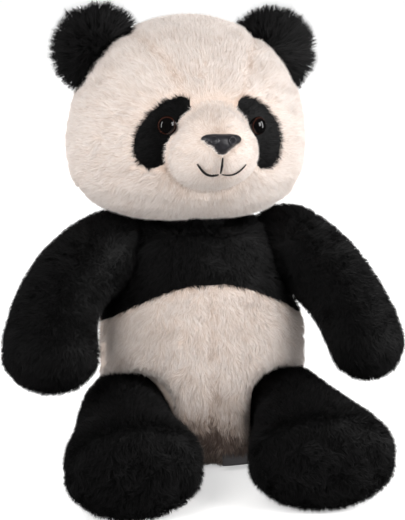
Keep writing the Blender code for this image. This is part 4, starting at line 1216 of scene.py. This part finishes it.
def make_lights():
    for name, place, size, power, colour in LIGHTS:
        data = bpy.data.lights.new(name, "AREA")
        data.shape = "RECTANGLE"
        data.size, data.size_y = size
        data.energy = power
        data.color = colour
        lamp = bpy.data.objects.new(name, data)
        bpy.context.scene.collection.objects.link(lamp)
        lamp.location = place
        lamp.rotation_mode = "QUATERNION"
        lamp.rotation_quaternion = (TARGET - Vector(place)).to_track_quat("-Z", "Y")
        lamp.visible_glossy = name not in NO_HIGHLIGHT
        lamp.visible_camera = name != "rear"


def make_world():
    """White backdrop for the camera, softer light for surfaces, faint for reflections."""
    world = bpy.data.worlds.new("studio")
    world.use_nodes = True
    tree = world.node_tree
    back = tree.nodes["Background"]
    back.inputs["Color"].default_value = (1, 1, 1, 1)
    path = tree.nodes.new("ShaderNodeLightPath")
    level = None
    for ray, value in (("Is Camera Ray", BACKDROP), ("Is Glossy Ray", REFLECTED)):
        step = tree.nodes.new("ShaderNodeMath")
        step.operation = "MULTIPLY_ADD"
        tree.links.new(path.outputs[ray], step.inputs[0])
        step.inputs[1].default_value = value - AMBIENT
        step.inputs[2].default_value = AMBIENT
        if level is not None:
            tree.links.new(level, step.inputs[2])
        level = step.outputs[0]
    tree.links.new(level, back.inputs["Strength"])
    bpy.context.scene.world = world


def make_floor():
    mesh = bpy.data.meshes.new("floor")
    far = FLOOR_SIZE
    mesh.from_pydata([(-far, -far, 0), (far, -far, 0), (far, far, 0), (-far, far, 0)], [],
                     [(0, 1, 2, 3)])
    made = Nodes("floor_pale")
    made.put(Base_Color=(0.93, 0.93, 0.93, 1.0), Roughness=0.9,
             Emission_Color=(1.0, 1.0, 1.0, 1.0))
    seen = made.add("LightPath")
    glow = made.add("Math", operation="MULTIPLY")
    made.link(seen.outputs["Is Camera Ray"], glow.inputs[0])
    glow.inputs[1].default_value = FLOOR_GLOW
    made.link(glow.outputs[0], made.shader.inputs["Emission Strength"])
    mesh.materials.append(made.mat)
    obj = new_object("floor", mesh)
    obj.location.z = -FLOOR_DROP
    obj.visible_glossy = False


def draw_in_fill():
    """Keeps the stuffing clear of the skins that replace the panels."""
    for node, obj in frame["nodes"].items():
        if SLOT[node] != "fill" or node.startswith(HIDDEN_BODIES):
            continue
        inset = obj.modifiers.new("inset", "DISPLACE")
        inset.mid_level = 0.0
        inset.strength = -(TORSO_FILL_INSET if node == "torso_fill" else FILL_INSET)


def main():
    draw_in_fill()
    materials = make_materials()
    for node, obj in frame["nodes"].items():
        obj.data.materials.clear()
        obj.data.materials.append(materials[SLOT[node]])
    dress(make_skins(), materials)
    for tag in SIDES:
        make_eye(tag, materials)
    make_nose(materials)
    for tag, lift, radius, shown in THREADS:
        make_thread(tag, lift, radius, shown, materials)
    make_label(materials)
    make_camera()
    make_lights()
    make_world()
    make_floor()
    bpy.context.scene.view_settings.view_transform = "Standard"
    bpy.context.scene.view_settings.look = "None"


main()
